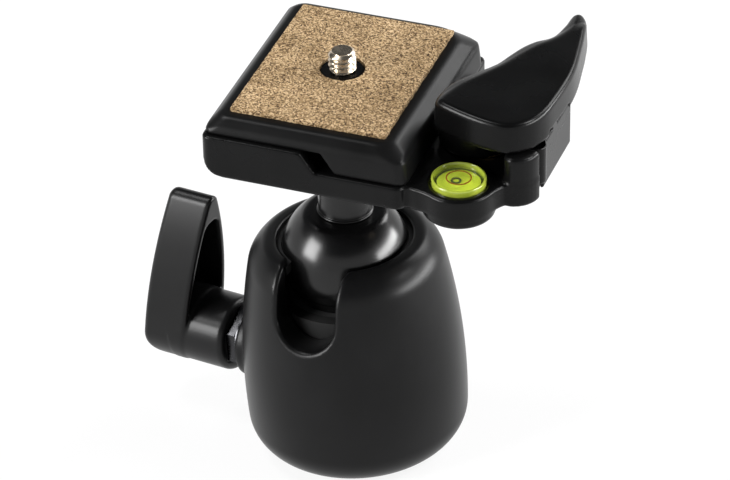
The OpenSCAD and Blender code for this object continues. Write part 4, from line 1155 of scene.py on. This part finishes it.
# %% [markdown]
# ## The camera
#
# The camera stands a metre away with a long lens, 29 degrees to the right of the notch and
# 33 degrees up, rolled a little. Its place is worked out from those angles instead of
# being dragged by hand, so that they can be read and changed.

# %% Camera
AZ, EL, ROLL = np.radians([28.6, 32.7, 4.82])
PICTURE_WIDTH = 730
FOCAL_PX, SHIFT_X_PX, SHIFT_Y_PX = 4422, 19, 12
SENSOR_MM, DISTANCE_M = 36, 1.012

back = np.array([np.sin(AZ) * np.cos(EL), -np.cos(AZ) * np.cos(EL), np.sin(EL)])
level_right = np.array([np.cos(AZ), np.sin(AZ), 0])
level_up = np.cross(back, level_right)
right = np.cos(ROLL) * level_right - np.sin(ROLL) * level_up
up = np.sin(ROLL) * level_right + np.cos(ROLL) * level_up
target = np.array([0, 0, BALL_Z / 1000])


def aimed(obj, position, x_axis, y_axis, z_axis):
    """Puts a camera or lamp at a position, looking down its own -z."""
    m = Matrix.Identity(4)
    for row in range(3):
        m[row][:] = [x_axis[row], y_axis[row], z_axis[row], position[row]]
    obj.matrix_world = m
    bpy.context.scene.collection.objects.link(obj)


view = bpy.data.cameras.new("camera")
view.sensor_width = SENSOR_MM
view.lens = FOCAL_PX * SENSOR_MM / PICTURE_WIDTH
view.shift_x, view.shift_y = SHIFT_X_PX / PICTURE_WIDTH, SHIFT_Y_PX / PICTURE_WIDTH
view.clip_end = 20
eye = bpy.data.objects.new("camera", view)
aimed(eye, target + DISTANCE_M * back, right, up, back)
bpy.context.scene.camera = eye
print(f"lens {view.lens:.0f} mm, {DISTANCE_M} m from the ball")

# %% [markdown]
# ## The light
#
# Two soft boxes stand left and right of the camera and draw the two bright patches on the
# ball and the soft bands down the barrel. Three smaller ones hang high at the front,
# overhead and at the back, and draw the thin bright lines along the edges of the lever,
# the level's lobe and the camera plate. A single dome of light would leave all of these
# black parts without a form.

# %% Light
def soft_box(name, direction, distance, width, height, watts):
    """An area lamp in a direction given as (right, up, towards the camera)."""
    d = direction[0] * level_right + direction[1] * level_up + direction[2] * back
    d = d / np.linalg.norm(d)
    lamp = bpy.data.lights.new(name, "AREA")
    lamp.shape, lamp.size, lamp.size_y, lamp.energy = "RECTANGLE", width, height, watts
    side = np.cross([0, 0, 1.0], d)
    side /= np.linalg.norm(side)
    aimed(bpy.data.objects.new(name, lamp), target + distance * d, side, np.cross(d, side), d)


soft_box("left_box", (-0.88, 0.14, 0.46), distance=1.1, width=0.5, height=0.55, watts=18)
soft_box("right_box", (0.99, 0.06, 0.14), distance=1.1, width=1.2, height=0.25, watts=21)
soft_box("high_box", (0.72, 0.5, 0.48), distance=1.2, width=0.32, height=0.32, watts=8)
soft_box("top_box", (-0.38, 0.83, 0.35), distance=1.3, width=0.35, height=0.35, watts=6)
soft_box("rear_box", (0.66, 0.74, -0.14), distance=1.2, width=0.45, height=0.5, watts=6)
print("watts in all:", sum(lamp.energy for lamp in bpy.data.lights))

world = bpy.data.worlds.new("room")
world.use_nodes = True
world.node_tree.nodes["Background"].inputs["Color"].default_value = (0.9, 0.95, 1, 1)
world.node_tree.nodes["Background"].inputs["Strength"].default_value = 0.08
bpy.context.scene.world = world
bpy.context.scene.view_settings.view_transform = "Standard"
